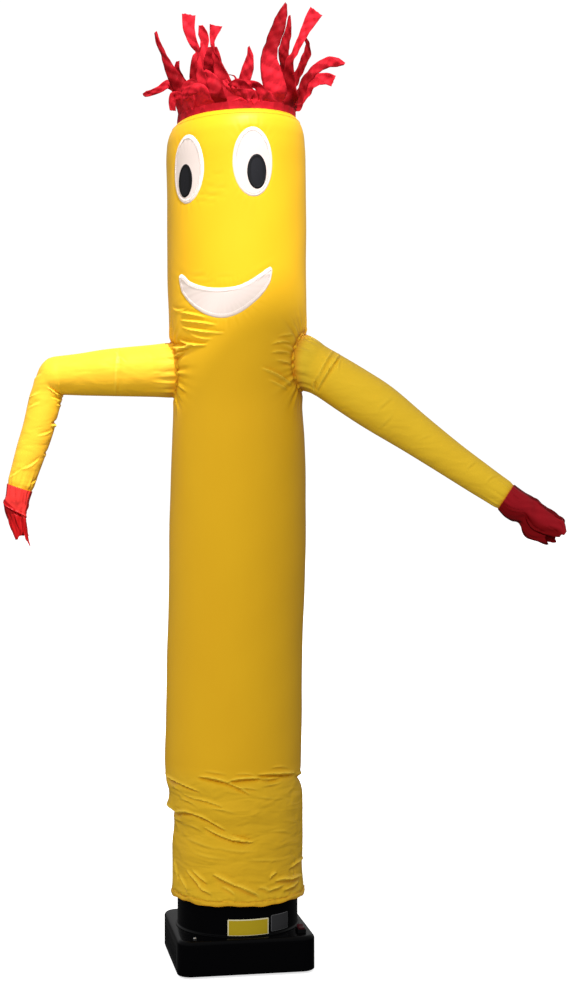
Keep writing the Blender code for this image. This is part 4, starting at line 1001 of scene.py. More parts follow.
def make_trunk(materials):
    """The trunk's cloth: a tube with its hem turned in and a hole at each sleeve.

    The grid's faces inside an armhole go, and the points on its border move onto the seam.
    """
    runs = [np.linspace(low, high, rows, endpoint=False) for low, high, rows in ROW_RUNS]
    outer = np.append(np.concatenate(runs), RIM_Z)
    inner, inset = np.array(HEM_INSIDE).T
    heights = np.concatenate([HEM_Z + inner, outer])
    inset = np.concatenate([inset, np.zeros(len(outer))])
    azimuths = -math.pi + turns_round(TRUNK_COLUMNS)
    azimuths = azimuths - FRONT_SHARE * np.sin(azimuths)
    azimuth, height = np.meshgrid(azimuths, heights)
    kept = np.ones((len(heights) - 1, TRUNK_COLUMNS), dtype=bool)
    for side in ARMS:
        distance, _, seam_across, seam_height = round_armhole(azimuth * WALL_RADIUS, height, side)
        corners = [distance[:-1], distance[1:]]
        corners += [np.roll(corner, -1, axis=1) for corner in corners]
        gone = sum(corners) < 0
        kept &= ~gone
        touched = np.zeros(distance.shape, dtype=bool)
        held = np.zeros(distance.shape, dtype=bool)
        for faces, points in ((gone, touched), (~gone, held)):
            for part in (faces, np.roll(faces, 1, axis=1)):
                points[:-1] |= part
                points[1:] |= part
        border = touched & held
        azimuth = np.where(border, seam_across / WALL_RADIUS, azimuth)
        height = np.where(border, seam_height, height)
    waves = HEM_WAVES[0] * np.sin(7 * azimuth + 0.5) + HEM_WAVES[1] * np.sin(19 * azimuth)
    points, crease, near = wall(azimuth, height, -inset[:, None], marks=True)
    points[..., 2] += waves * smooth(HEM_Z + 0.02, HEM_Z, height)
    across = np.append(azimuths, math.pi) * WALL_RADIUS
    uv = np.stack(np.meshgrid(across, heights), axis=2)
    hem = smooth(0.0012, -0.0012, height - hem_edge(azimuth))
    wrinkled = np.maximum(near, 0.7 * smooth(0.385, 0.345, height) * smooth(0.10, 0.17, height))
    wrinkled = np.maximum(wrinkled, smooth(0.185, 0.150, height))
    seam = np.maximum(near, 0.20 * hem + 0.6 * smooth(HEM_Z + 0.0022, HEM_Z + 0.0006, height))
    cloth = grid(points, round_again=True, kept=kept, uv=uv, marks={
        "crease": crease, "seam": seam, "wrinkled": wrinkled})
    trunk = make("trunk_cloth", [cloth], [materials["yellow"]])
    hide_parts("tube")
    return [trunk]


# ---------------------------------------------------------------- sleeves and hands

def sleeve_offset(distance, turn, length):
    """How far a sleeve is drawn in at both seams, with puckers that die away from each."""
    total = 0.0
    for gap, (dip, pucker, number) in zip((distance, length - distance), SLEEVE_SEAMS):
        share = np.maximum(gap, 0.0) / 0.010
        wave = np.sin(number * turn) + 0.5 * np.sin(1.6 * number * turn + 2.0)
        total = total - dip * bell(gap, 0.006) + pucker * share * np.exp(1 - share) * wave
    return total


def make_sleeve(side, materials):
    """A sleeve from its line on the trunk's wall to the wrist, with a rolled seam at each end."""
    azimuth, table, folds = ARMS[side]
    start, root, _ = armhole(side)
    last = len(table) - 1.0
    rows = SLEEVE_ROWS[side]
    share = np.linspace(0.0, 1.0, rows)
    share = share - 0.055 * np.sin(TURN * share)
    turns = turns_round(SLEEVE_COLUMNS)
    begin, end = run_of(table, start), run_of(table, last)
    along = run_of(table, begin[None, :] + share[:, None] * (end - begin[None, :]), back=True)
    turn = np.broadcast_to(turns, along.shape)
    bare = sleeve(table, azimuth, along, turn, folds)[0]
    distance = running(np.linalg.norm(np.diff(bare, axis=0), axis=2))
    offset = sleeve_offset(distance, turn, distance[-1])
    offset = offset + 0.0022 * bell(distance, 0.006)
    points, crease = sleeve(table, azimuth, along, turn, folds, offset)
    points[0] = root
    girth = np.array(table)[:, 2].mean()
    uv = np.stack([np.broadcast_to(np.append(turns, TURN) * girth, (rows, SLEEVE_COLUMNS + 1)),
                   np.concatenate([distance, distance[:, :1]], axis=1)], axis=2)
    near = np.maximum(bell(distance, NEAR_SEAM), 0.6 * bell(distance[-1] - distance, 0.004))
    wrinkled = np.maximum(bell(distance, 0.045), 0.35)
    flip = side == "right"
    # painted light: the underside of the upper arm turns to a brighter orange, as if lit through the cloth;
    # only the left sleeve's material reads it
    painted_underside_light = 0.9 * smooth(0.15, 1.0, -np.sin(turn)) * smooth(0.10, 0.0, distance - distance.max() * 0.42)
    cloth = grid(points, round_again=True, flip=flip, uv=uv,
                 marks={"crease": crease, "seam": near, "wrinkled": wrinkled, "shade": painted_underside_light})
    item = make(f"sleeve_{side}", [cloth], [materials[f"sleeve_{side}"]])
    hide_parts(f"arm_{side}")
    outward = normals_of(points) * (-1 if flip else 1)
    knots = np.arange(SLEEVE_COLUMNS)
    crumple = np.sin(0.83 * knots) + 0.7 * np.sin(1.47 * knots + 1.0)
    away = unit(np.diff(points, axis=0)[1])
    path = root + outward[1] * (0.0009 * np.sin(1.13 * knots + 0.4))[:, None]
    path = path + away * (0.0012 * np.sin(0.71 * knots))[:, None]
    # painted highlight: the roll turns lighter yellow where it swells
    seam = [tube(path, outward[1], SEAM_ROLL * (1 + 0.32 * crumple),
                 {"shade": 0.5 + 0.3 * np.append(crumple, crumple[0])[:, None]})]
    thread = path + outward[1] * 0.0018
    ahead = np.roll(thread, -1, axis=0)
    seam.append(stitches(thread + 0.15 * (ahead - thread), thread + 0.85 * (ahead - thread),
                         outward[1], THREAD, slot=1))
    roll = make(f"armhole_seam_{side}", seam, [materials["seam"], materials["thread"]])
    wrist = make(f"wrist_seam_{side}", [tube(points[-1], outward[-1], CORD)], [materials["seam"]])
    return [item, roll, wrist]


def make_hand(side, materials):
    """A hand of red cloth: a gathered palm, then four fingers of the same cloth cut apart.

    shade, a painted shade below the left hand's diagonal fold and on the right hand's lower side,
    turns from 0 to 1 across the line a * along + b * sin(turn) + c = 0 of HANDS, and seam rises to 1
    where |sin(turn)| nears 1, at the two edges where the hand's panels meet.
    """
    azimuth, table, folds, fingers, palm_end, line = HANDS[side]
    last = len(table) - 1.0
    pitch = 360.0 / HAND_COLUMNS
    turns = turns_round(HAND_COLUMNS)
    flip = side == "right"
    girth = np.array(table)[:, 2].mean()

    def surface(along, turn, offset=0.0):
        """Points and marks of the hand's cloth: its gathers are sines that die away as
        exp(-along / 0.9) from the wrist, and slower sines grow towards the fingers."""
        gathers = HAND_GATHER * np.exp(-along / 0.9) * (np.sin(15 * turn) + 0.6 * np.sin(22 * turn + 1.0))
        limp = HAND_LIMP * smooth(0.6, 3.0, along) * np.sin(5 * turn + 2.2 * along)
        limp = limp + HAND_RIPPLE * smooth(1.0, 3.0, along) * np.sin(11 * turn - 3.1 * along + 1.0)
        points, crease = sleeve(table, azimuth, along, turn, folds, offset + gathers + limp)
        side_of = line[0] * along + line[1] * np.sin(turn) + line[2]
        edge = smooth(0.86, 0.94, np.abs(np.sin(turn)))
        return points, {"crease": crease, "seam": edge, "shade": smooth(-line[3], line[3], side_of)}

    along, turn = np.meshgrid(np.linspace(0.02, palm_end, PALM_ROWS), turns, indexing="ij")
    points, marks = surface(along, turn)
    uv = np.stack(np.meshgrid(np.append(turns, TURN) * girth, run_of(table, along[:, 0])), axis=2)
    grids = [grid(points, round_again=True, flip=flip, uv=uv, marks=marks)]
    for number, (first, final, length, taper, slant) in enumerate(fingers):
        columns = round((final - first) / pitch) + 1
        t, across = np.meshgrid(np.linspace(0.0, 1.0, FINGER_ROWS), np.linspace(-1.0, 1.0, columns),
                                indexing="ij")
        width = (final - first) / 2 * (1 - 0.03 * smooth(0.0, 0.1, t) - taper * smooth(0.45, 1.0, t))
        turn = np.radians((first + final) / 2 + across * width)
        ragged = 0.03 * np.sin(7.0 * across + 2.0 * number)
        cut = 1 + (slant * across - 0.06 * across**2 + ragged) * smooth(0.4, 1.0, t)
        along = np.minimum(palm_end + (last - palm_end) * length * t * cut, last)
        curl = (-0.06 * girth * across**2 - 0.0012 * (number % 2)) * smooth(0.0, 0.5, t)
        points, marks = surface(along, turn, curl)
        uv = np.stack([turn * girth, run_of(table, along)], axis=2)
        grids.append(grid(points, flip=flip, uv=uv, marks=marks))
    item = make(f"hand_{side}_cloth", grids, [materials[f"hand_{side}"]], merge=MERGE)
    thicken(item, CLOTH)
    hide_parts(f"hand_{side}")
    return [item]


# ---------------------------------------------------------------- streamers

def rim_ring(azimuth, rise, spread=0.0):
    """Points over the rim of the head at azimuths in radians, lifted and moved outwards."""
    _, lean, tilt = read_table(TRUNK, np.array(RIM_Z))
    radius = RIM_RADIUS + spread
    z = RIM_Z + rise + tilt * radius * np.sin(azimuth)
    return np.stack([lean + radius * np.sin(azimuth), -radius * np.cos(azimuth), z], axis=-1)


def streamer(number, azimuth, root_light, tip_light, knots):
    """One streamer: a strip carried along a path through its knots, half straight and half smooth
    between them.

    With way the path's direction, the strip lies along cos(turn) (way x forward) + sin(turn)
    forward'; it is cupped by across^2 and crumpled by two slanting zigzag waves.
    """
    view = math.radians(VIEW_TURN)
    right = np.array([math.cos(view), math.sin(view), 0.0])
    forward = np.array([math.sin(view), -math.cos(view), 0.0])
    middle = math.radians(azimuth)
    root = rim_ring(middle, BAND_HEIGHT)
    face = VIEW_TURN - azimuth
    half = RIM_RADIUS * math.radians(STREAMER_PITCH) / 2
    path = [(float(root @ right), root[2], float(root @ forward), half, face)]
    for across, height, near, wide, turn in knots:
        face = turn + 180.0 * round((face - turn) / 180.0)
        path.append((across, height, near, wide, face))
    side_share = np.linspace(-1.0, 1.0, STRIP_COLUMNS + 1)
    t, across = np.meshgrid(np.linspace(0.0, len(path) - 1.0, STRIP_ROWS), side_share, indexing="ij")
    slant = 0.35 * math.copysign(1.0, math.sin(5.3 * number + 0.4))
    cut = slant * across * 0.5 + 0.10 * zigzag_wave(1.4 * across + 0.37 * number)
    t = t + (cut - 0.4) * smooth(len(path) - 2.0, len(path) - 1.0, t) * CUT_LENGTH
    t = np.clip(t, 0.0, len(path) - 1.0)
    straight = np.stack([np.interp(t, np.arange(len(path)), column) for column in np.array(path).T],
                        axis=-1)
    curved = read_table(count_rows(path), t)
    lay = 0.45 * straight + 0.55 * curved
    at = lay[..., :1] * right + lay[..., 1:2] * np.array([0.0, 0.0, 1.0]) + lay[..., 2:3] * forward
    way = unit(np.gradient(at, axis=0))
    flat = unit(np.cross(way, forward))
    turn = np.radians(curved[..., 4:5])
    wide = np.cos(turn) * flat + np.sin(turn) * np.cross(flat, way)
    normal = np.cross(wide, way)
    length = running(np.linalg.norm(np.diff(at, axis=0), axis=2))
    width = np.maximum(straight[..., 3], 0.0004)
    free = smooth(0.002, 0.022, length)
    broad = zigzag_wave(length / BROAD_CRUMPLE + 0.45 * across + 0.41 * number)
    fine = zigzag_wave(length / FINE_CRUMPLE - 0.60 * across + 0.77 * number)
    crumple = 0.6 * broad + 0.4 * fine
    cup = CUP * width * (across**2 - 0.4) * math.cos(1.7 * number)
    rise = free * (cup + CRUMPLE * crumple * np.minimum(width / 0.008, 1.0))
    ribbon = at + wide * (width * across)[..., None] + normal * rise[..., None]
    edge = rim_ring(middle + across * math.radians(STREAMER_PITCH) / 2, BAND_HEIGHT)
    points = (edge + at - root) * (1 - free[..., None]) + ribbon * free[..., None]
    uv = np.stack([across * half + number * 3 * half, length], axis=2)
    # painted light and shade: each strip's lightness runs from its root's to its tip's, lighter and darker
    # on the crumples' slopes and darker where the strip turns edge-on
    lightness = root_light + (tip_light - root_light) * smooth(0.35, 0.60, t / (len(path) - 1.0))
    shade = np.clip(lightness + 0.10 * crumple * free - 0.18 * np.abs(np.sin(turn[..., 0])), 0.0, 1.0)
    # painted shade in the troughs of the broad crumples
    crease = 0.5 * bell(broad + 1.0, 0.25) * free
    return grid(points, uv=uv, marks={"crease": crease, "shade": shade})


def make_streamers(materials):
    """A red band sewn over the rim of the head, cut upwards into streamers, and its piping."""
    columns = int(360 / STREAMER_PITCH) * STRIP_COLUMNS
    first = math.radians(STREAMERS[0][0] - STREAMER_PITCH / 2)
    azimuths = first + turns_round(columns)
    rise = np.linspace(-0.004, BAND_HEIGHT, 10)
    azimuth, height = np.meshgrid(azimuths, rise)
    gather = 0.0010 * np.sin(31 * azimuth) * np.sin(np.clip(height / BAND_HEIGHT, 0, 1) * math.pi)
    points = rim_ring(azimuth, height, 0.0009 * smooth(0.004, 0.0, height) + gather)
    uv = np.stack(np.meshgrid(first + np.arange(columns + 1) * TURN / columns, rise), axis=2)
    grids = [grid(points, round_again=True, uv=uv * [RIM_RADIUS, 1.0],
                  marks={"shade": BAND_SHADE})]
    grids += [streamer(number, *row) for number, row in enumerate(STREAMERS)]
    hair = make("streamers", grids, [materials["hair"]], merge=MERGE)
    area = cloth_area(hair)
    thicken(hair, CLOTH)
    hair.visible_shadow = False
    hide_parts("hair")
    azimuths = turns_round(180)
    ring = rim_ring(azimuths, -0.0035, 0.0022)
    piping = make("rim_piping", [tube(ring, outwards(azimuths), CORD)], [materials["seam"]])
    return [hair, piping]


# ---------------------------------------------------------------- face

def turned_under(inside):
    """Height of a sewn patch's cloth at a distance inside its edge, where it is turned under."""
    return PATCH_LIFT * smooth(-0.0002, 0.0012, inside)


def border_lift(inside):
    """The same with a rolled border and a lower field."""
    return (turned_under(inside) + 0.0007 * bell(inside - 0.0032, 0.0016)
            - 0.0002 * bell(inside - 0.0062, 0.0010))


def cloth_area(item):
    """Area of a piece's faces, one side of the cloth."""
    areas = np.empty(len(item.data.polygons))
    item.data.polygons.foreach_get("area", areas)
    return float(areas.sum())


def make_oval(name, shape, node, material, lift=0.0, roll=1.0):
    """An oval patch on the wall, its rows from near its middle out to its edge."""
    share = eased(PATCH_ROWS)
    share[0] = 0.004
    azimuth, height, half_angle, half_height = shape
    share, turn = np.meshgrid(share, turns_round(OVAL_COLUMNS), indexing="ij")
    place = np.radians(azimuth + half_angle * share * np.cos(turn))
    level = height + half_height * share * np.sin(turn)
    size = np.hypot(math.radians(half_angle) * WALL_RADIUS * np.cos(turn), half_height * np.sin(turn))
    inside = (1 - share) * size
    rise = lift + turned_under(inside) + roll * (border_lift(inside) - turned_under(inside))
    points = wall(place, level, rise)
    uv = np.stack([share * np.cos(turn), share * np.sin(turn)], axis=2)
    uv = np.append(uv, uv[:, :1], axis=1)
    patch = make(name, [grid(points, round_again=True, uv=uv, marks={"edge": inside})], [material])
    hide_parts(node)
    return patch


def zigzag(azimuths, heights, inward_across, inward_height, lift):
    """Zigzag stitches inside a closed outline, between two lines set in from it."""
    across = azimuths * WALL_RADIUS
    step = np.hypot(np.diff(np.append(across, across[0])), np.diff(np.append(heights, heights[0])))
    place = running(step)
    count = int(place[-1] / ZIGZAG_PITCH) * 2
    at = np.arange(count + 1) * place[-1] / count
    knots = [np.append(values, values[0]) for values in (across, heights, inward_across, inward_height)]
    u, v, in_u, in_v = [np.interp(at, place, values) for values in knots]
    depth = ZIGZAG_INSET + ZIGZAG_WIDTH * (np.arange(count + 1) % 2)
    places = (u + in_u * depth) / WALL_RADIUS, v + in_v * depth
    points = wall(*places, lift)
    return stitches(points[:-1], points[1:], outwards(places[0])[:-1], 0.00038)


def mouth_outline(count):
    """(azimuths, heights, inwards across, inwards height) round the mouth, and its table."""
    rows = np.array(MOUTH)
    angle = np.linspace(rows[0, 0], rows[-1, 0], count)
    lower, upper = read_table(MOUTH, angle).T
    u = np.radians(np.concatenate([angle, angle[::-1]])) * WALL_RADIUS
    v = np.concatenate([lower, upper[::-1]])
    along_u = np.roll(u, -1) - np.roll(u, 1)
    along_v = np.roll(v, -1) - np.roll(v, 1)
    size = np.hypot(along_u, along_v)
    return u / WALL_RADIUS, v, -along_v / size, along_u / size


def make_mouth(materials):
    """The smile: a crescent patch between its lower and upper edges."""
    ends = np.array(MOUTH)[:, 0]
    angle = np.linspace(ends[0], ends[-1], MOUTH_COLUMNS)
    share, angle = np.meshgrid(eased(PATCH_ROWS), angle, indexing="ij")
    edges = read_table(MOUTH, angle)
    lower, upper = edges[..., 0], edges[..., 1]
    height = lower + (upper - lower) * share
    across = np.gradient(np.radians(angle), axis=1) * WALL_RADIUS
    slope = np.gradient((lower + upper) / 2, axis=1) / across
    inside = np.minimum(share, 1 - share) * (upper - lower) * np.cos(np.arctan(slope))
    ends_gap = np.minimum(angle - ends[0], ends[-1] - angle)
    inside = np.minimum(inside, np.radians(ends_gap) * WALL_RADIUS * 1.5)
    points = wall(np.radians(angle), height, border_lift(inside))
    uv = np.stack([np.radians(angle) * WALL_RADIUS, height], axis=2)
    mouth = make("mouth_patch", [grid(points, uv=uv, marks={"edge": inside})], [materials["white"]])
    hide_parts("mouth")
    flat = (math.radians(ends[-1] - ends[0]) * WALL_RADIUS, float(upper.max() - lower.min()))
    min(cloth_area(mouth), flat[0] * flat[1])
    return mouth


def make_face(materials):
    """Eye whites, pupils and smile, with the zigzag threads that hold them."""
    pieces = []
    threads = []
    turns = turns_round(240)
    for node, shape in EYES.items():
        pieces.append(make_oval(node + "_patch", shape, node, materials["white"]))
        azimuth, height = oval(shape, turns)
        u = np.gradient(azimuth * WALL_RADIUS)
        v = np.gradient(height)
        size = np.hypot(u, v)
        threads.append(zigzag(azimuth, height, -v / size, u / size, PATCH_LIFT + 0.0006))
    for node, shape in PUPILS.items():
        pieces.append(make_oval(node + "_patch", shape, node, materials["black"],
                                PATCH_LIFT, 0.5))
    pieces.append(make_mouth(materials))
    threads.append(zigzag(*mouth_outline(160), PATCH_LIFT + 0.0006))
    thread = make("face_stitches", threads, [materials["white_thread"]])
    return pieces + [thread]


def make_stitching(materials):
    """Rows of straight stitches round the hem and under the rim of the head."""
    lines = []
    for height in (HEM_Z + HEM_TURN, RIM_Z - RIM_STITCHES):
        count = int(TURN * WALL_RADIUS / STITCH_PITCH)
        start = turns_round(count)
        ends = start + 0.7 * TURN / count
        level = np.full(count, height)
        lines.append(stitches(wall(start, level, STITCH_LIFT), wall(ends, level, STITCH_LIFT),
                              outwards(start), THREAD))
    thread = make("trunk_stitches", lines, [materials["thread"]])
    return [thread]


# ---------------------------------------------------------------- blower

def place_blower(points, x=0.0, y=0.0, z=0.0, tip=0.0):
    """Points of the blower's own frame in the model's: tipped about X, moved, turned about Z."""
    c, s = math.cos(tip), math.sin(tip)
    local = np.stack([points[..., 0] + x, c * points[..., 1] - s * points[..., 2] + y,
                      s * points[..., 1] + c * points[..., 2] + z], axis=-1)
    c, s = math.cos(math.radians(BLOWER_TURN)), math.sin(math.radians(BLOWER_TURN))
    return np.stack([c * local[..., 0] - s * local[..., 1], s * local[..., 0] + c * local[..., 1],
                     local[..., 2]], axis=-1)


def square_ring(half_x, half_y, corner, left_stops, stops=9, turns=9):
    """Corners (x, y) and outward directions round a rectangle with round corners.

    left_stops are the places along the left side that have points of their own.
    """
    places, ways = [], []
    for quarter, (side_x, side_y) in enumerate(((1, 1), (-1, 1), (-1, -1), (1, -1))):
        turn = (quarter + np.linspace(0.0, 1.0, turns)) * math.pi / 2
        way = np.stack([np.cos(turn), np.sin(turn)], axis=1)
        places.append(np.array([side_x * (half_x - corner), side_y * (half_y - corner)]) + corner * way)
        ways.append(way)
        straight_x, straight_y = half_x - corner, half_y - corner
        if quarter == 1 and len(left_stops):
            at = np.array(left_stops)[::-1]
        else:
            reach = straight_y if quarter % 2 else straight_x
            at = np.linspace(1, -1, stops + 2)[1:-1] * reach
        still = np.ones_like(at)
        line = ((at, half_y * still), (-half_x * still, at), (-at, -half_y * still), (half_x * still, -at))
        places.append(np.stack(line[quarter], axis=1))
        ways.append(np.broadcast_to(way[-1], (len(at), 2)))
    return np.concatenate(places), np.concatenate(ways)


def turned(profile, columns=96):
    """A profile of (radius, height) turned about the upright axis."""
    profile = np.array(profile)
    turns = turns_round(columns)
    x = profile[:, 0][:, None] * np.sin(turns)
    y = -profile[:, 0][:, None] * np.cos(turns)
    z = np.broadcast_to(profile[:, 1][:, None], x.shape)
    return np.stack([x, y, z], axis=2)


def rounded(profile, radius, steps=4):
    """A profile with each inner corner replaced by a curve that starts radius before it."""
    profile = np.array(profile)
    out = [profile[:1]]
    for before, corner, after in zip(profile[:-2], profile[1:-1], profile[2:]):
        reach = min(radius, 0.45 * np.hypot(*(corner - before)), 0.45 * np.hypot(*(after - corner)))
        start = corner + unit(before - corner) * reach
        end = corner + unit(after - corner) * reach
        t = np.linspace(0.0, 1.0, steps + 1)[:, None]
        out.append((1 - t) ** 2 * start + 2 * t * (1 - t) * corner + t**2 * end)
    return np.concatenate(out + [profile[-1:]])


def make_shell(materials):
    """The low square housing: one sheet from its underside round its sides and deck to the outlet.

    Its rows shrink from the wall to a circle under the deck's middle; slots are left out of the
    left wall, and the sheet is thickened inwards.
    """
    half = BLOWER_SIDE / 2
    edges = np.sort(np.concatenate([slot_places() - SLOT_WIDTH / 2, slot_places() + SLOT_WIDTH / 2]))
    square, ways = square_ring(half, half, CORNER_RADIUS, edges)
    middle_turn = np.arctan2(square[:, 1], square[:, 0])
    round_way = np.stack([np.cos(middle_turn), np.sin(middle_turn)], axis=1)
    rows = []
    for share in (0.0, 0.35, 0.7, 0.97):
        near = square - ways * 0.004
        rows.append((PANEL_RADIUS * round_way * (1 - share) + near * share, BLOWER_LOW))
    for turn in np.linspace(0.0, math.pi / 2, 5)[1:]:
        inset = FLOOR_EDGE * (1 - math.sin(turn))
        rows.append((square - ways * inset, BLOWER_LOW + FLOOR_EDGE * (1 - math.cos(turn))))
    for height in (0.012, SLOT_LOW, (SLOT_LOW + SLOT_HIGH) / 2, SLOT_HIGH, 0.057):
        rows.append((square, height))
    for turn in np.linspace(0.0, math.pi / 2, 9):
        inset = DECK_EDGE * (1 - math.cos(turn))
        rows.append((square - ways * inset, DECK_Z - DECK_EDGE * (1 - math.sin(turn))))
    for share in (0.25, 0.5, 0.75, 0.96, 1.0):
        flat = square - ways * DECK_EDGE
        rows.append((flat * (1 - share) + OUTLET_RADIUS * round_way * share, DECK_Z))
    rows.append((OUTLET_RADIUS * 0.99 * round_way, DECK_Z - 0.001))
    rows.append((OUTLET_RADIUS * 0.99 * round_way, DECK_Z - 0.008))
    points = np.stack([np.concatenate([xy, np.full((len(xy), 1), z)], axis=1) for xy, z in rows])
    heights = (points[1:, :, 2] + points[:-1, :, 2]) / 2
    centre = (points[:-1] + np.roll(points[:-1], -1, axis=1)) / 2
    in_slot = (np.abs(centre[:, :, 1, None] - slot_places()) < SLOT_WIDTH / 2 - 0.0003).any(axis=2)
    in_slot &= (centre[:, :, 0] < -half + 0.002) & (heights > SLOT_LOW) & (heights < SLOT_HIGH)
    shell = make("blower_shell", [grid(place_blower(points), round_again=True, kept=~in_slot)],
                 [materials["plastic"]], sharp=35.0)
    thicken(shell, HOUSING_WALL, -1.0)
    bevel = shell.modifiers.new("soft_edges", 'BEVEL')
    bevel.width = 0.0004
    bevel.segments = 2
    bevel.limit_method = 'ANGLE'
    bevel.angle_limit = math.radians(60.0)
    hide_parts("blower_housing")
    profile = [(0.0006, PANEL_LOW), (PANEL_RADIUS, PANEL_LOW), (PANEL_RADIUS, BLOWER_LOW + 0.0012)]
    panel = turned(rounded(profile, 0.0008))
    base = make("base_panel", [grid(panel, round_again=True)], [materials["plastic"]])
    return [shell, base]


def slot_places():
    """Middles of the air slots along the left wall."""
    return (np.arange(SLOT_COUNT) - (SLOT_COUNT - 1) / 2) * SLOT_PITCH


def make_collar(materials):
    """The outlet's collar: an upright ring with a foot fillet and a bead under its lip."""
    low = DECK_Z + 0.0003
    profile = rounded([
        (COLLAR_RADIUS - COLLAR_WALL, low + 0.0002), (COLLAR_RADIUS + COLLAR_FOOT + 0.0005, low),
        (COLLAR_RADIUS + COLLAR_FOOT, low + 0.0012), (COLLAR_RADIUS, low + COLLAR_FOOT),
        (COLLAR_RADIUS, BEAD_Z - 0.010), (COLLAR_BEAD, BEAD_Z - 0.003), (COLLAR_BEAD, BEAD_Z + 0.003),
        (COLLAR_RADIUS + 0.002, COLLAR_TOP), (COLLAR_RADIUS - COLLAR_WALL, COLLAR_TOP),
        (COLLAR_RADIUS - COLLAR_WALL, low + 0.0002)], 0.0016)
    collar = make("collar", [grid(turned(profile, 160), round_again=True)], [materials["plastic"]])
    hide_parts("outlet_collar")
    return [collar]


def make_feet(materials):
    """Four tapered rubber feet with rounded soles."""
    profile = rounded([(0.0003, 0.0), (FOOT_RADIUS - 0.0006, 0.0), (FOOT_RADIUS, FOOT_HEIGHT),
                       (0.0003, FOOT_HEIGHT)], 0.0008)
    feet = []
    for number, (side_x, side_y) in enumerate(((-1, -1), (1, -1), (1, 1), (-1, 1)), start=1):
        ring = turned(profile, 40)
        points = place_blower(ring, side_x * FOOT_PLACE, side_y * FOOT_PLACE)
        foot = make(f"rubber_foot_{number}", [grid(points, round_again=True)], [materials["rubber"]])
        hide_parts(f"foot_{number}")
        feet.append(foot)
    return feet


def make_labels(materials):
    """Two blank labels bent round the collar, their corners rounded and their edges turned down."""
    labels = []
    for node, (first, last, low, high, border) in LABELS.items():
        half_u = math.radians(last - first) / 2 * COLLAR_RADIUS
        half_v = (high - low) / 2
        square, ways = square_ring(half_u, half_v, LABEL_CORNER, (), stops=11)
        rows, lifts = [], []
        for inset, lift in ((0.0, 0.00005), (0.0002, 0.00035), (0.0006, LABEL_LIFT), (border, LABEL_LIFT)):
            rows.append(square - ways * inset)
            lifts.append(lift)
        for share in (0.7, 0.4, 0.15, 0.01):
            rows.append((square - ways * border) * share)
            lifts.append(LABEL_LIFT)
        flat = np.stack(rows)
        azimuth = math.radians(first + last) / 2 + flat[..., 0] / COLLAR_RADIUS
        reach = COLLAR_RADIUS + np.array(lifts)[:, None]
        z = (low + high) / 2 + flat[..., 1]
        points = np.stack([reach * np.sin(azimuth), -reach * np.cos(azimuth), z], axis=2)
        name = node.replace("collar_", "") + "_film"
        label = make(name, [grid(points, round_again=True)], [materials[node]])
        label.data.materials.append(materials[node + "_border"])
        border_slots = np.zeros(len(label.data.polygons), dtype=np.int32)
        border_slots[:3 * flat.shape[1]] = 1
        label.data.polygons.foreach_set("material_index", border_slots)
        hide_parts(node)
        labels.append(label)
    return labels


def make_screw(materials):
    """A domed screw head with a cross cut into it: the dome drops where |x| or |y| is small."""
    rim = [SCREW_RADIUS, SCREW_RADIUS]
    reach = np.concatenate([[0.00005], np.linspace(0.0003, SCREW_RADIUS - 0.0001, 22), rim])
    turns = turns_round(96)
    radius, turn = np.meshgrid(reach, turns, indexing="ij")
    x, y = radius * np.sin(turn), -radius * np.cos(turn)
    height = SCREW_HEIGHT * np.sqrt(np.clip(1 - (radius / SCREW_DOME) ** 2, 0.0, 1.0))
    bar = np.minimum(np.abs(x), np.abs(y))
    height = height - 0.0012 * smooth(0.00055, 0.0003, bar) * smooth(0.0024, 0.0020, radius)
    height[-1] = 0.0003
    points = np.stack([x, y, DECK_Z + 0.0002 + height], axis=2)
    screw = make("screw_head", [grid(place_blower(points, *SCREW_PLACE), round_again=True, flip=True)],
                 [materials["steel"]], sharp=40.0)
    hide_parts("deck_screw")
    return [screw]


def make_switch(materials):
    """The bezel: a soft rectangular frame; and the rocker in it: a block whose top dips by
    d (1 - (y / end)^2)^1.3 in the middle, closed at both ends, tipped about the level axis."""
    width, length, height = SWITCH_SIZE
    rows = []
    profile = ((-0.0004, 0.0), (0.0, 0.0006), (0.0, height - 0.0008), (0.0003, height - 0.0002),
               (0.0008, height), (SWITCH_RIM - 0.0006, height), (SWITCH_RIM - 0.0001, height - 0.0003),
               (SWITCH_RIM, height - 0.0009), (SWITCH_RIM, -0.0010))
    for inset, up in profile:
        corner = max(SWITCH_CORNER - inset, 0.0006)
        square, _ = square_ring(width / 2 - inset, length / 2 - inset, corner, (), 5, 6)
        rows.append(np.concatenate([square, np.full((len(square), 1), DECK_Z + 0.0003 + up)], axis=1))
    points = place_blower(np.stack(rows), *SWITCH_PLACE)
    bezel = make("bezel", [grid(points, round_again=True)], [materials["plastic"]])
    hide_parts("switch_bezel")
    half = width / 2 - SWITCH_RIM - ROCKER_GAPS[0]
    end = length / 2 - SWITCH_RIM - ROCKER_GAPS[1]
    share = np.sin(np.linspace(-1.0, 1.0, 31) * math.pi / 2)
    floor = ROCKER_FLOOR - ROCKER_AXIS
    loops = []
    for along in share:
        top = floor + ROCKER_HEIGHT - ROCKER_DIP * (1 - along**2) ** 1.3
        shrink = 1 - 0.06 * smooth(0.94, 1.0, abs(along))
        middle, tall = (top + floor) / 2, (top - floor) / 2
        corner, _ = square_ring(half * shrink, tall * shrink, 0.0007, (), 4, 5)
        loops.append(np.stack([corner[:, 0], np.full(len(corner), along * end), middle + corner[:, 1]], 1))
    caps = [loop * [0.01, 1.0, 0.01] + [0.0, 0.0, 0.99 * loop[:, 2].mean()]
            for loop in (loops[0], loops[-1])]
    points = np.stack([caps[0]] + loops + [caps[1]])
    points = place_blower(points, *SWITCH_PLACE, DECK_Z + ROCKER_AXIS, math.radians(ROCKER_REST))
    rocker = make("rocker_cap", [grid(points, round_again=True)], [materials["switch"]], sharp=40.0)
    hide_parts("switch_rocker")
    return [bezel], [rocker]


# ---------------------------------------------------------------- materials

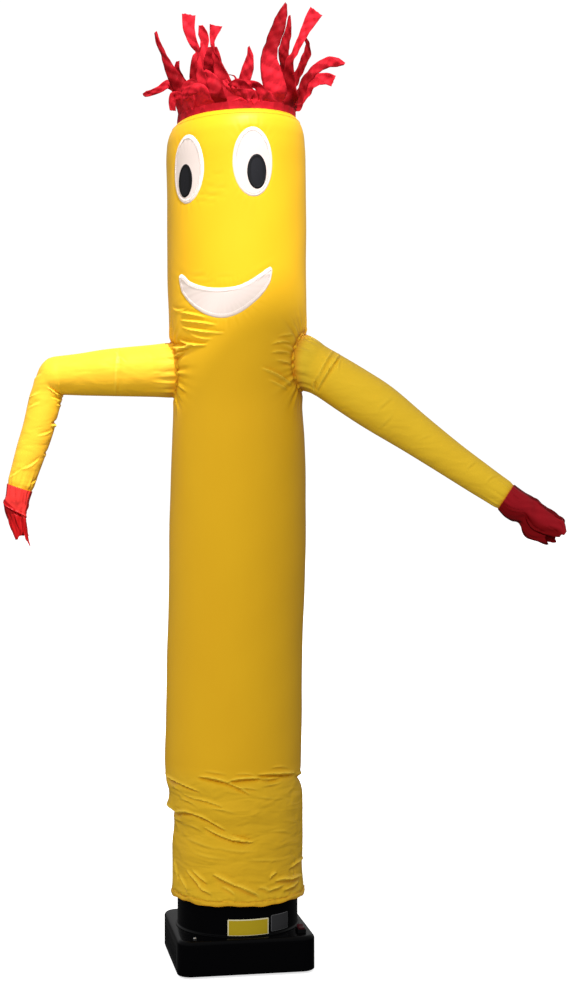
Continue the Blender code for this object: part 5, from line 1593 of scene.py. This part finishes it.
class Graph:
    """The nodes of a material or a world, with short ways to add and link them."""

    def __init__(self, owner):
        owner.use_nodes = True
        self.nodes = owner.node_tree.nodes
        self.links = owner.node_tree.links

    def feed(self, socket, value):
        """Give an input a value, or a link from another node's output."""
        if isinstance(value, bpy.types.NodeSocket):
            self.links.new(value, socket)
        else:
            socket.default_value = value

    def add(self, kind, **settings):
        """A new node with its settings; a name that starts with in_ is an input's."""
        item = self.nodes.new(kind)
        for key, value in settings.items():
            if key.startswith("in_"):
                self.feed(item.inputs[key[3:].replace("_", " ")], value)
            else:
                setattr(item, key, value)
        return item

    def math(self, operation, *values):
        """One arithmetic step on numbers or outputs."""
        step = self.add('ShaderNodeMath', operation=operation)
        for socket, value in zip(step.inputs, values):
            self.feed(socket, value)
        return step.outputs[0]

    def clamp(self, value, low=0.0):
        """A value held between low and 1."""
        return self.math('MINIMUM', self.math('MAXIMUM', value, low), 1.0)

    def mix(self, factor, first, second):
        """A mix of two colours, either of which may be an output."""
        item = self.add('ShaderNodeMix', data_type='RGBA')
        for place, value in ((0, factor), (6, first), (7, second)):
            self.feed(item.inputs[place], (*value, 1.0) if isinstance(value, tuple) else value)
        return item.outputs[2]

    def mark(self, name):
        """The value that the mesh carries under a name."""
        return self.add('ShaderNodeAttribute', attribute_name=name).outputs["Fac"]

    def mapped(self, where, scale, turn=(0.0, 0.0, 0.0)):
        """Coordinates stretched by scale and turned."""
        return self.add('ShaderNodeMapping', in_Vector=where, in_Scale=scale, in_Rotation=turn).outputs[0]

    def noise(self, where, scale, detail, **settings):
        """A noise pattern at some coordinates."""
        return self.add('ShaderNodeTexNoise', in_Vector=where, in_Scale=scale, in_Detail=detail,
                        **settings).outputs["Fac"]

    def bump(self, height, strength, distance, **settings):
        """A normal that follows a height."""
        return self.add('ShaderNodeBump', in_Height=height, in_Strength=strength,
                        in_Distance=distance, **settings).outputs[0]


def new_material(name, **inputs):
    """A material with one Principled shader and its inputs: (material, graph, shader)."""
    material = bpy.data.materials.new(name)
    graph = Graph(material)
    shader = graph.nodes["Principled BSDF"]
    for key, value in inputs.items():
        shader.inputs[key.replace("_", " ")].default_value = value
    return material, graph, shader


def scaled(colour, *factors):
    """A colour times one factor or three, held to 1."""
    factors = factors * (3 // len(factors))
    return tuple(min(value * factor, 1.0) for value, factor in zip(colour, factors))


def cloth_material(name, base, deep, crease=0.7, shade=None, roughness=0.45, gloss=0.22,
                   edge=None, wrinkle=0.0, shards=0.0, lip_highlight=None):
    """Thin woven cloth: its colour deepens in creases, a painted shade, and by seams, with faint
    streaks and a weave.

    shade is a colour of painted light and shade that the cloth turns to with the mesh's shade value,
    broken into cells of painted facet shading where shards gives their scale; ridge is a painted
    highlight for the lips beside the folds; edge is one for the band near a patch's border; wrinkle
    is the height of the small wrinkles in the bump.
    """
    material, graph, shader = new_material(name, Roughness=roughness, Specular_IOR_Level=gloss)
    where = graph.add('ShaderNodeTexCoord').outputs["Object"]
    streaks = graph.noise(graph.mapped(where, (1.0, 1.0, 0.35)), 9.0, 4.0, in_Roughness=0.6)
    colour = graph.mix(graph.math('MULTIPLY', streaks, 0.22), base, deep)
    # painted light and shade: the cloth turns to the shade colour with the mesh's shade value, which shards
    # breaks into cells of painted facet shading
    if shade is not None:
        level = graph.mark("shade")
        if shards:
            cells = graph.add('ShaderNodeTexVoronoi', in_Scale=shards,
                              in_Vector=graph.mapped(where, (1.0, 1.0, 0.45), (0.3, 0.35, 0.0)))
            cell = graph.add('ShaderNodeSeparateXYZ', in_Vector=cells.outputs["Color"]).outputs["X"]
            shift = graph.math('MULTIPLY_ADD', cell, 0.36, -0.16)
            level = graph.clamp(graph.math('ADD', level, shift))
        colour = graph.mix(level, colour, shade)
    if lip_highlight is not None:
        dull = graph.math('MULTIPLY', graph.mark("wrinkled"), 0.45)
        colour = graph.mix(dull, colour, scaled(base, 0.86, 1.0, 2.0))
        # painted highlight: the lips beside the folds turn to this lighter colour
        high = graph.clamp(graph.math('MULTIPLY', graph.mark("crease"), -0.6))
        colour = graph.mix(high, colour, lip_highlight)
    # painted shade in creases: the cloth turns to its deep colour along the troughs
    trough = graph.math('MULTIPLY', graph.mark("crease"), crease)
    seam = graph.math('MULTIPLY', graph.mark("seam"), 0.78)
    colour = graph.mix(graph.clamp(graph.math('MAXIMUM', trough, seam)), colour, deep)
    if edge is not None:
        band = graph.add('ShaderNodeMapRange', in_Value=graph.mark("edge"),
                         in_From_Min=PATCH_BAND[1], in_From_Max=PATCH_BAND[0])
        colour = graph.mix(band.outputs[0], colour, edge)
    graph.feed(shader.inputs["Base Color"], colour)
    normal = graph.bump(graph.noise(where, 650.0, 2.0), WEAVE, 0.0006)
    if wrinkle:
        bent = graph.noise(graph.mapped(where, (1.0, 1.0, 2.6)), 19.0, 1.5, in_Distortion=0.5)
        height = graph.math('MULTIPLY', bent, graph.mark("wrinkled"))
        normal = graph.bump(height, 0.45, wrinkle, in_Normal=normal)
    graph.feed(shader.inputs["Normal"], normal)
    return material


def plain_material(name, base, roughness, metallic=0.0, grain=0.0, gloss=0.3):
    """A moulded or metal surface with an even colour and a fine grain."""
    material, graph, shader = new_material(name, Base_Color=(*base, 1.0), Roughness=roughness,
                                           Metallic=metallic, Specular_IOR_Level=gloss)
    if grain:
        where = graph.add('ShaderNodeTexCoord').outputs["Object"]
        graph.feed(shader.inputs["Normal"], graph.bump(graph.noise(where, 900.0, 2.0), grain, 0.0004))
    return material


def build_materials(look):
    """All materials, by their use."""
    yellow = tuple(look.yellow)
    deep = tuple(look.yellow_deep)
    red = tuple(look.red)
    # the red cloth's painted shade in its creases
    fold_shade_red = scaled(red, 0.16)
    dark_red = scaled(red, 0.40)
    white = tuple(look.white)
    # a painted highlight colour for the lips beside the folds
    bright = scaled(yellow, 1.3, 1.5, 5.0)
    return {
        "yellow": cloth_material("yellow nylon", yellow, deep, 0.5, gloss=0.16, wrinkle=0.022,
                                 lip_highlight=bright),
        # the left sleeve is a copy of the yellow nylon painted lighter, its lit side, with a painted glow
        # of light through the cloth on its underside
        "sleeve_left": cloth_material("yellow nylon of the left sleeve", scaled(yellow, 1.15, 1.10, 2.2),
                                      scaled(deep, 1.5, 1.9, 1.0), 0.5, (1.0, 0.60, 0.006),
                                      gloss=0.16, wrinkle=0.018, lip_highlight=(1.0, 0.86, 0.10)),
        # the right sleeve is a copy of the yellow nylon painted lighter and more lemon, which stands for
        # light through the thin cloth
        "sleeve_right": cloth_material("yellow nylon of the right sleeve", scaled(yellow, 1.08, 1.20, 1.8),
                                       deep, 0.6, gloss=0.16, wrinkle=0.018, lip_highlight=bright),
        # the seam's shade colour is its painted highlight where the roll swells
        "seam": cloth_material("orange seam", deep, scaled(deep, 0.6), 0.6, yellow),
        "thread": plain_material("orange thread", deep, 0.7),
        "white_thread": plain_material("white thread", (0.85, 0.78, 0.72), 0.7),
        # the hair runs from a dark red, its painted shade, to a light red, its painted light, with each
        # strip's shade value
        "hair": cloth_material("red nylon of the hair", scaled(red, 0.42), fold_shade_red, 0.8,
                               scaled(red, 1.22, 2.6, 2.4), roughness=0.6, gloss=0.05, shards=62.0),
        # the left hand is a lit copy of the red nylon, painted bright, that turns to a painted shade below
        # its diagonal fold
        "hand_left": cloth_material("red nylon of the left hand", scaled(red, 1.72, 7.2, 3.2), dark_red,
                                    0.8, scaled(red, 0.80, 0.92, 0.56), gloss=0.12),
        # the right hand is a shaded copy of the red nylon, painted dull, that turns to a darker painted
        # shade on its lower side
        "hand_right": cloth_material("red nylon of the right hand", scaled(red, 0.72, 1.4, 1.4),
                                     fold_shade_red, 0.7, dark_red, gloss=0.08),
        "white": cloth_material("white cloth", white, scaled(white, 0.8), 0.5, roughness=0.6,
                                edge=scaled(white, 1.2)),
        "black": cloth_material("black cloth", tuple(look.black), (0.002, 0.002, 0.002), 0.5,
                                roughness=0.55, edge=(0.004, 0.004, 0.004)),
        "plastic": plain_material("black plastic", tuple(look.plastic), 0.26, grain=0.05, gloss=0.06),
        "switch": plain_material("dark red plastic", (0.045, 0.006, 0.009), 0.3, gloss=0.15),
        "rubber": plain_material("black rubber", (0.012, 0.012, 0.012), 0.75, grain=0.1),
        "steel": plain_material("bright steel", (0.75, 0.74, 0.72), 0.22, metallic=1.0),
        "collar_label_yellow": plain_material("yellow label", (0.46, 0.33, 0.012), 0.4, gloss=0.1),
        "collar_label_yellow_border": plain_material("cream label border", (0.72, 0.66, 0.42), 0.4),
        "collar_label_grey": plain_material("grey label", (0.038, 0.038, 0.040), 0.4, gloss=0.1),
        "collar_label_grey_border": plain_material("grey label border", (0.13, 0.13, 0.135), 0.4),
    }


# ---------------------------------------------------------------- studio

def make_world(scene, look):
    """A sky that lightens upwards and to the left, dimmer from below where it is mirrored, and
    plain white where it is seen."""
    world = bpy.data.worlds.new("studio")
    scene.world = world
    graph = Graph(world)
    way = graph.add('ShaderNodeTexCoord').outputs["Generated"]
    parts = graph.add('ShaderNodeSeparateXYZ', in_Vector=way).outputs
    tilted = graph.math('MULTIPLY_ADD', parts["X"], SKY_TILT, parts["Z"])
    ramp = graph.add('ShaderNodeValToRGB', in_Fac=graph.math('MULTIPLY_ADD', tilted, 0.5, 0.5))
    stops = ramp.color_ramp.elements
    for number, level in ((0, SKY[0]), (1, SKY[2])):
        stops[number].position, stops[number].color = float(number), (level, level, level, 1.0)
    stops.new(0.5).color = (SKY[1], SKY[1], SKY[1], 1.0)
    path = graph.add('ShaderNodeLightPath').outputs
    rising = graph.clamp(graph.math('MULTIPLY_ADD', parts["Z"], 3.0, 0.35), GLOSSY_LOW)
    loss = graph.math('SUBTRACT', rising, 1.0)
    gain = graph.math('MULTIPLY_ADD', path["Is Glossy Ray"], loss, 1.0)
    sky = graph.nodes["Background"]
    graph.feed(sky.inputs["Color"], ramp.outputs["Color"])
    graph.feed(sky.inputs["Strength"], graph.math('MULTIPLY', gain, look.fill))
    seen = graph.add('ShaderNodeBackground', in_Strength=SKY_SEEN, in_Color=(1.0, 1.0, 1.0, 1.0))
    mix = graph.add('ShaderNodeMixShader')
    for socket, value in zip(mix.inputs, (path["Is Camera Ray"], sky.outputs[0], seen.outputs[0])):
        graph.feed(socket, value)
    graph.feed(graph.nodes["World Output"].inputs["Surface"], mix.outputs[0])


def make_studio(look):
    """Camera, key light with a soft edge, pale floor and an even bright world."""
    scene = bpy.context.scene
    scene.view_settings.view_transform = 'Standard'
    scene.view_settings.look = 'None'
    camera = bpy.data.cameras.new("camera")
    camera.sensor_fit = 'VERTICAL'
    camera.sensor_height = 36.0
    camera.lens = look.lens
    eye = bpy.data.objects.new("camera", camera)
    eye.location = CAMERA_PLACE
    eye.rotation_euler = (math.radians(90.0), 0.0, math.radians(VIEW_TURN))
    scene.collection.objects.link(eye)
    scene.camera = eye

    lamp = bpy.data.lights.new("key", 'SPOT')
    lamp.energy = look.key_power
    lamp.color = KEY_COLOUR
    lamp.spot_size = 2 * math.radians(KEY_CONE)
    lamp.spot_blend = KEY_BLEND
    lamp.shadow_soft_size = KEY_SIZE
    key = bpy.data.objects.new("key", lamp)
    edge = np.array(KEY_EDGE)
    edge_way = unit(np.array(KEY_EDGE_WAY))
    towards = unit(np.array(KEY_WAY))
    lit_side = np.cross(edge_way, towards)
    lit_side = unit(lit_side * math.copysign(1.0, lit_side[2]))
    axis = -towards * math.cos(math.radians(KEY_CONE)) + lit_side * math.sin(math.radians(KEY_CONE))
    key.location = edge + KEY_DISTANCE * towards
    key.rotation_euler = Vector(-axis).to_track_quat('Z', 'Y').to_euler()
    scene.collection.objects.link(key)

    panel = bpy.data.lights.new("front", 'AREA')
    panel.energy = look.front_power
    panel.size = FRONT_SIZE
    front = bpy.data.objects.new("front", panel)
    front.location = FRONT_PLACE
    front.visible_glossy = False
    aim = Vector(FRONT_PLACE) - Vector(FRONT_AIM)
    front.rotation_euler = aim.to_track_quat('Z', 'Y').to_euler()
    scene.collection.objects.link(front)

    make_world(scene, look)

    corners = np.array([[[-1.0, -1.0, 0.0], [1.0, -1.0, 0.0]], [[-1.0, 1.0, 0.0], [1.0, 1.0, 0.0]]])
    floor_material = plain_material("pale floor", (0.93, 0.93, 0.93), 0.7)
    shader = floor_material.node_tree.nodes["Principled BSDF"]
    shader.inputs["Emission Color"].default_value = (1.0, 1.0, 1.0, 1.0)
    shader.inputs["Emission Strength"].default_value = FLOOR_GLOW
    floor = make("floor", [grid(corners * FLOOR_REACH)], [floor_material])
    floor.visible_diffuse = False
    floor.visible_glossy = False


# ---------------------------------------------------------------- add-on

ARMS = {
    "left": (LEFT_AZIMUTH, LEFT_ARM, LEFT_ARM_FOLDS),
    "right": (RIGHT_AZIMUTH, RIGHT_ARM, RIGHT_ARM_FOLDS),
}
HANDS = {
    # azimuth, rows, folds, fingers, row where the fingers part, line beyond which the painted shade lies
    "left": (LEFT_AZIMUTH, LEFT_HAND, LEFT_HAND_FOLDS, LEFT_FINGERS, 2.6, (1.0, 1.16, -2.44, 0.10)),
    "right": (RIGHT_AZIMUTH, RIGHT_HAND, RIGHT_HAND_FOLDS, RIGHT_FINGERS, 3.2, (0.08, -1.0, -0.35, 0.16)),
}
SEAMS = {}
MATERIALS = {}


class DancerLook(PropertyGroup):
    """Colours, lens and lights of the dancer."""

    yellow: FloatVectorProperty(
        name="Yellow nylon", description="Colour of the trunk and sleeves",
        subtype='COLOR', default=(0.80, 0.46, 0.012), min=0.0, max=1.0)
    # the deep yellow is the painted shade in the creases, and also the colour of the seams and streaks
    yellow_deep: FloatVectorProperty(
        name="Yellow in creases", description="Colour of the yellow nylon deep in its folds",
        subtype='COLOR', default=(0.60, 0.20, 0.004), min=0.0, max=1.0)
    red: FloatVectorProperty(
        name="Red nylon", description="Colour of the streamers and hands",
        subtype='COLOR', default=(0.50, 0.006, 0.011), min=0.0, max=1.0)
    white: FloatVectorProperty(
        name="White cloth", description="Colour of the eyes and the smile",
        subtype='COLOR', default=(0.66, 0.56, 0.48), min=0.0, max=1.0)
    black: FloatVectorProperty(
        name="Black cloth", description="Colour of the pupils",
        subtype='COLOR', default=(0.008, 0.008, 0.009), min=0.0, max=1.0)
    plastic: FloatVectorProperty(
        name="Blower plastic", description="Colour of the blower's mouldings",
        subtype='COLOR', default=(0.0016, 0.0016, 0.0020), min=0.0, max=1.0)
    lens: FloatProperty(
        name="Lens", description="Focal length of the camera in millimetres",
        default=60.99, min=20.0, max=200.0)
    key_power: FloatProperty(
        name="Key light", description="Power of the key light", default=9600.0, min=0.0,
        subtype='POWER', unit='POWER')
    front_power: FloatProperty(
        name="Front light", description="Power of the soft light in front", default=64.0, min=0.0,
        subtype='POWER', unit='POWER')
    fill: FloatProperty(
        name="Fill light", description="Strength of the even light from all round",
        default=0.72, min=0.0, max=5.0)


def materials_for(context):
    """The dancer's materials, built once."""
    if not MATERIALS:
        MATERIALS.update(build_materials(context.scene.dancer_look))
    return MATERIALS


def ride(pieces, body=FIGURE):
    """Let pieces move with a body of the model."""
    for piece in pieces:
        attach(piece, body)
    return {'FINISHED'}


class BuildTrunk(Operator):
    """Build the trunk's cloth with its hem, armholes and stitches"""

    bl_idname = "dancer.build_trunk"
    bl_label = "Trunk"

    def execute(self, context):
        materials = materials_for(context)
        return ride(make_trunk(materials) + make_stitching(materials))


class BuildArms(Operator):
    """Build both sleeves with their seams, and both hands"""

    bl_idname = "dancer.build_arms"
    bl_label = "Sleeves and hands"

    def execute(self, context):
        materials = materials_for(context)
        pieces = []
        for side in ARMS:
            pieces += make_sleeve(side, materials) + make_hand(side, materials)
        return ride(pieces)


class BuildStreamers(Operator):
    """Build the red band and streamers on the head"""

    bl_idname = "dancer.build_streamers"
    bl_label = "Streamers"

    def execute(self, context):
        return ride(make_streamers(materials_for(context)))


class BuildFace(Operator):
    """Build the eyes and the smile with their stitches"""

    bl_idname = "dancer.build_face"
    bl_label = "Face"

    def execute(self, context):
        return ride(make_face(materials_for(context)))


class BuildBlower(Operator):
    """Build the blower's housing, collar, feet, labels and screw"""

    bl_idname = "dancer.build_blower"
    bl_label = "Blower"

    def execute(self, context):
        materials = materials_for(context)
        pieces = make_shell(materials) + make_collar(materials)
        return ride(pieces + make_feet(materials) + make_labels(materials) + make_screw(materials))


class BuildSwitch(Operator):
    """Build the switch's bezel and its rocker, which tips"""

    bl_idname = "dancer.build_switch"
    bl_label = "Switch"

    def execute(self, context):
        bezel, rocker = make_switch(materials_for(context))
        ride(bezel)
        return ride(rocker, ROCKER)


class BuildStudio(Operator):
    """Build the camera, lights and floor"""

    bl_idname = "dancer.build_studio"
    bl_label = "Studio"

    def execute(self, context):
        make_studio(context.scene.dancer_look)
        return {'FINISHED'}


BUILDERS = (BuildTrunk, BuildArms, BuildStreamers, BuildFace, BuildBlower, BuildSwitch, BuildStudio)


class DancerPanel(Panel):
    """Lists the dancer's builders and looks"""

    bl_idname = "VIEW3D_PT_air_dancer"
    bl_label = "Air Dancer"
    bl_space_type = 'VIEW_3D'
    bl_region_type = 'UI'
    bl_category = "Air Dancer"

    def draw(self, context):
        look = context.scene.dancer_look
        for name in DancerLook.__annotations__:
            self.layout.prop(look, name)
        for builder in BUILDERS:
            self.layout.operator(builder.bl_idname)


def register():
    for item in (DancerLook, *BUILDERS, DancerPanel):
        bpy.utils.register_class(item)
    bpy.types.Scene.dancer_look = PointerProperty(type=DancerLook)


def unregister():
    del bpy.types.Scene.dancer_look
    for item in reversed((DancerLook, *BUILDERS, DancerPanel)):
        bpy.utils.unregister_class(item)


def main():
    register()
    bpy.ops.dancer.build_trunk()
    bpy.ops.dancer.build_arms()
    bpy.ops.dancer.build_streamers()
    bpy.ops.dancer.build_face()
    bpy.ops.dancer.build_blower()
    bpy.ops.dancer.build_switch()
    bpy.ops.dancer.build_studio()


if __name__ == "__main__":
    main()
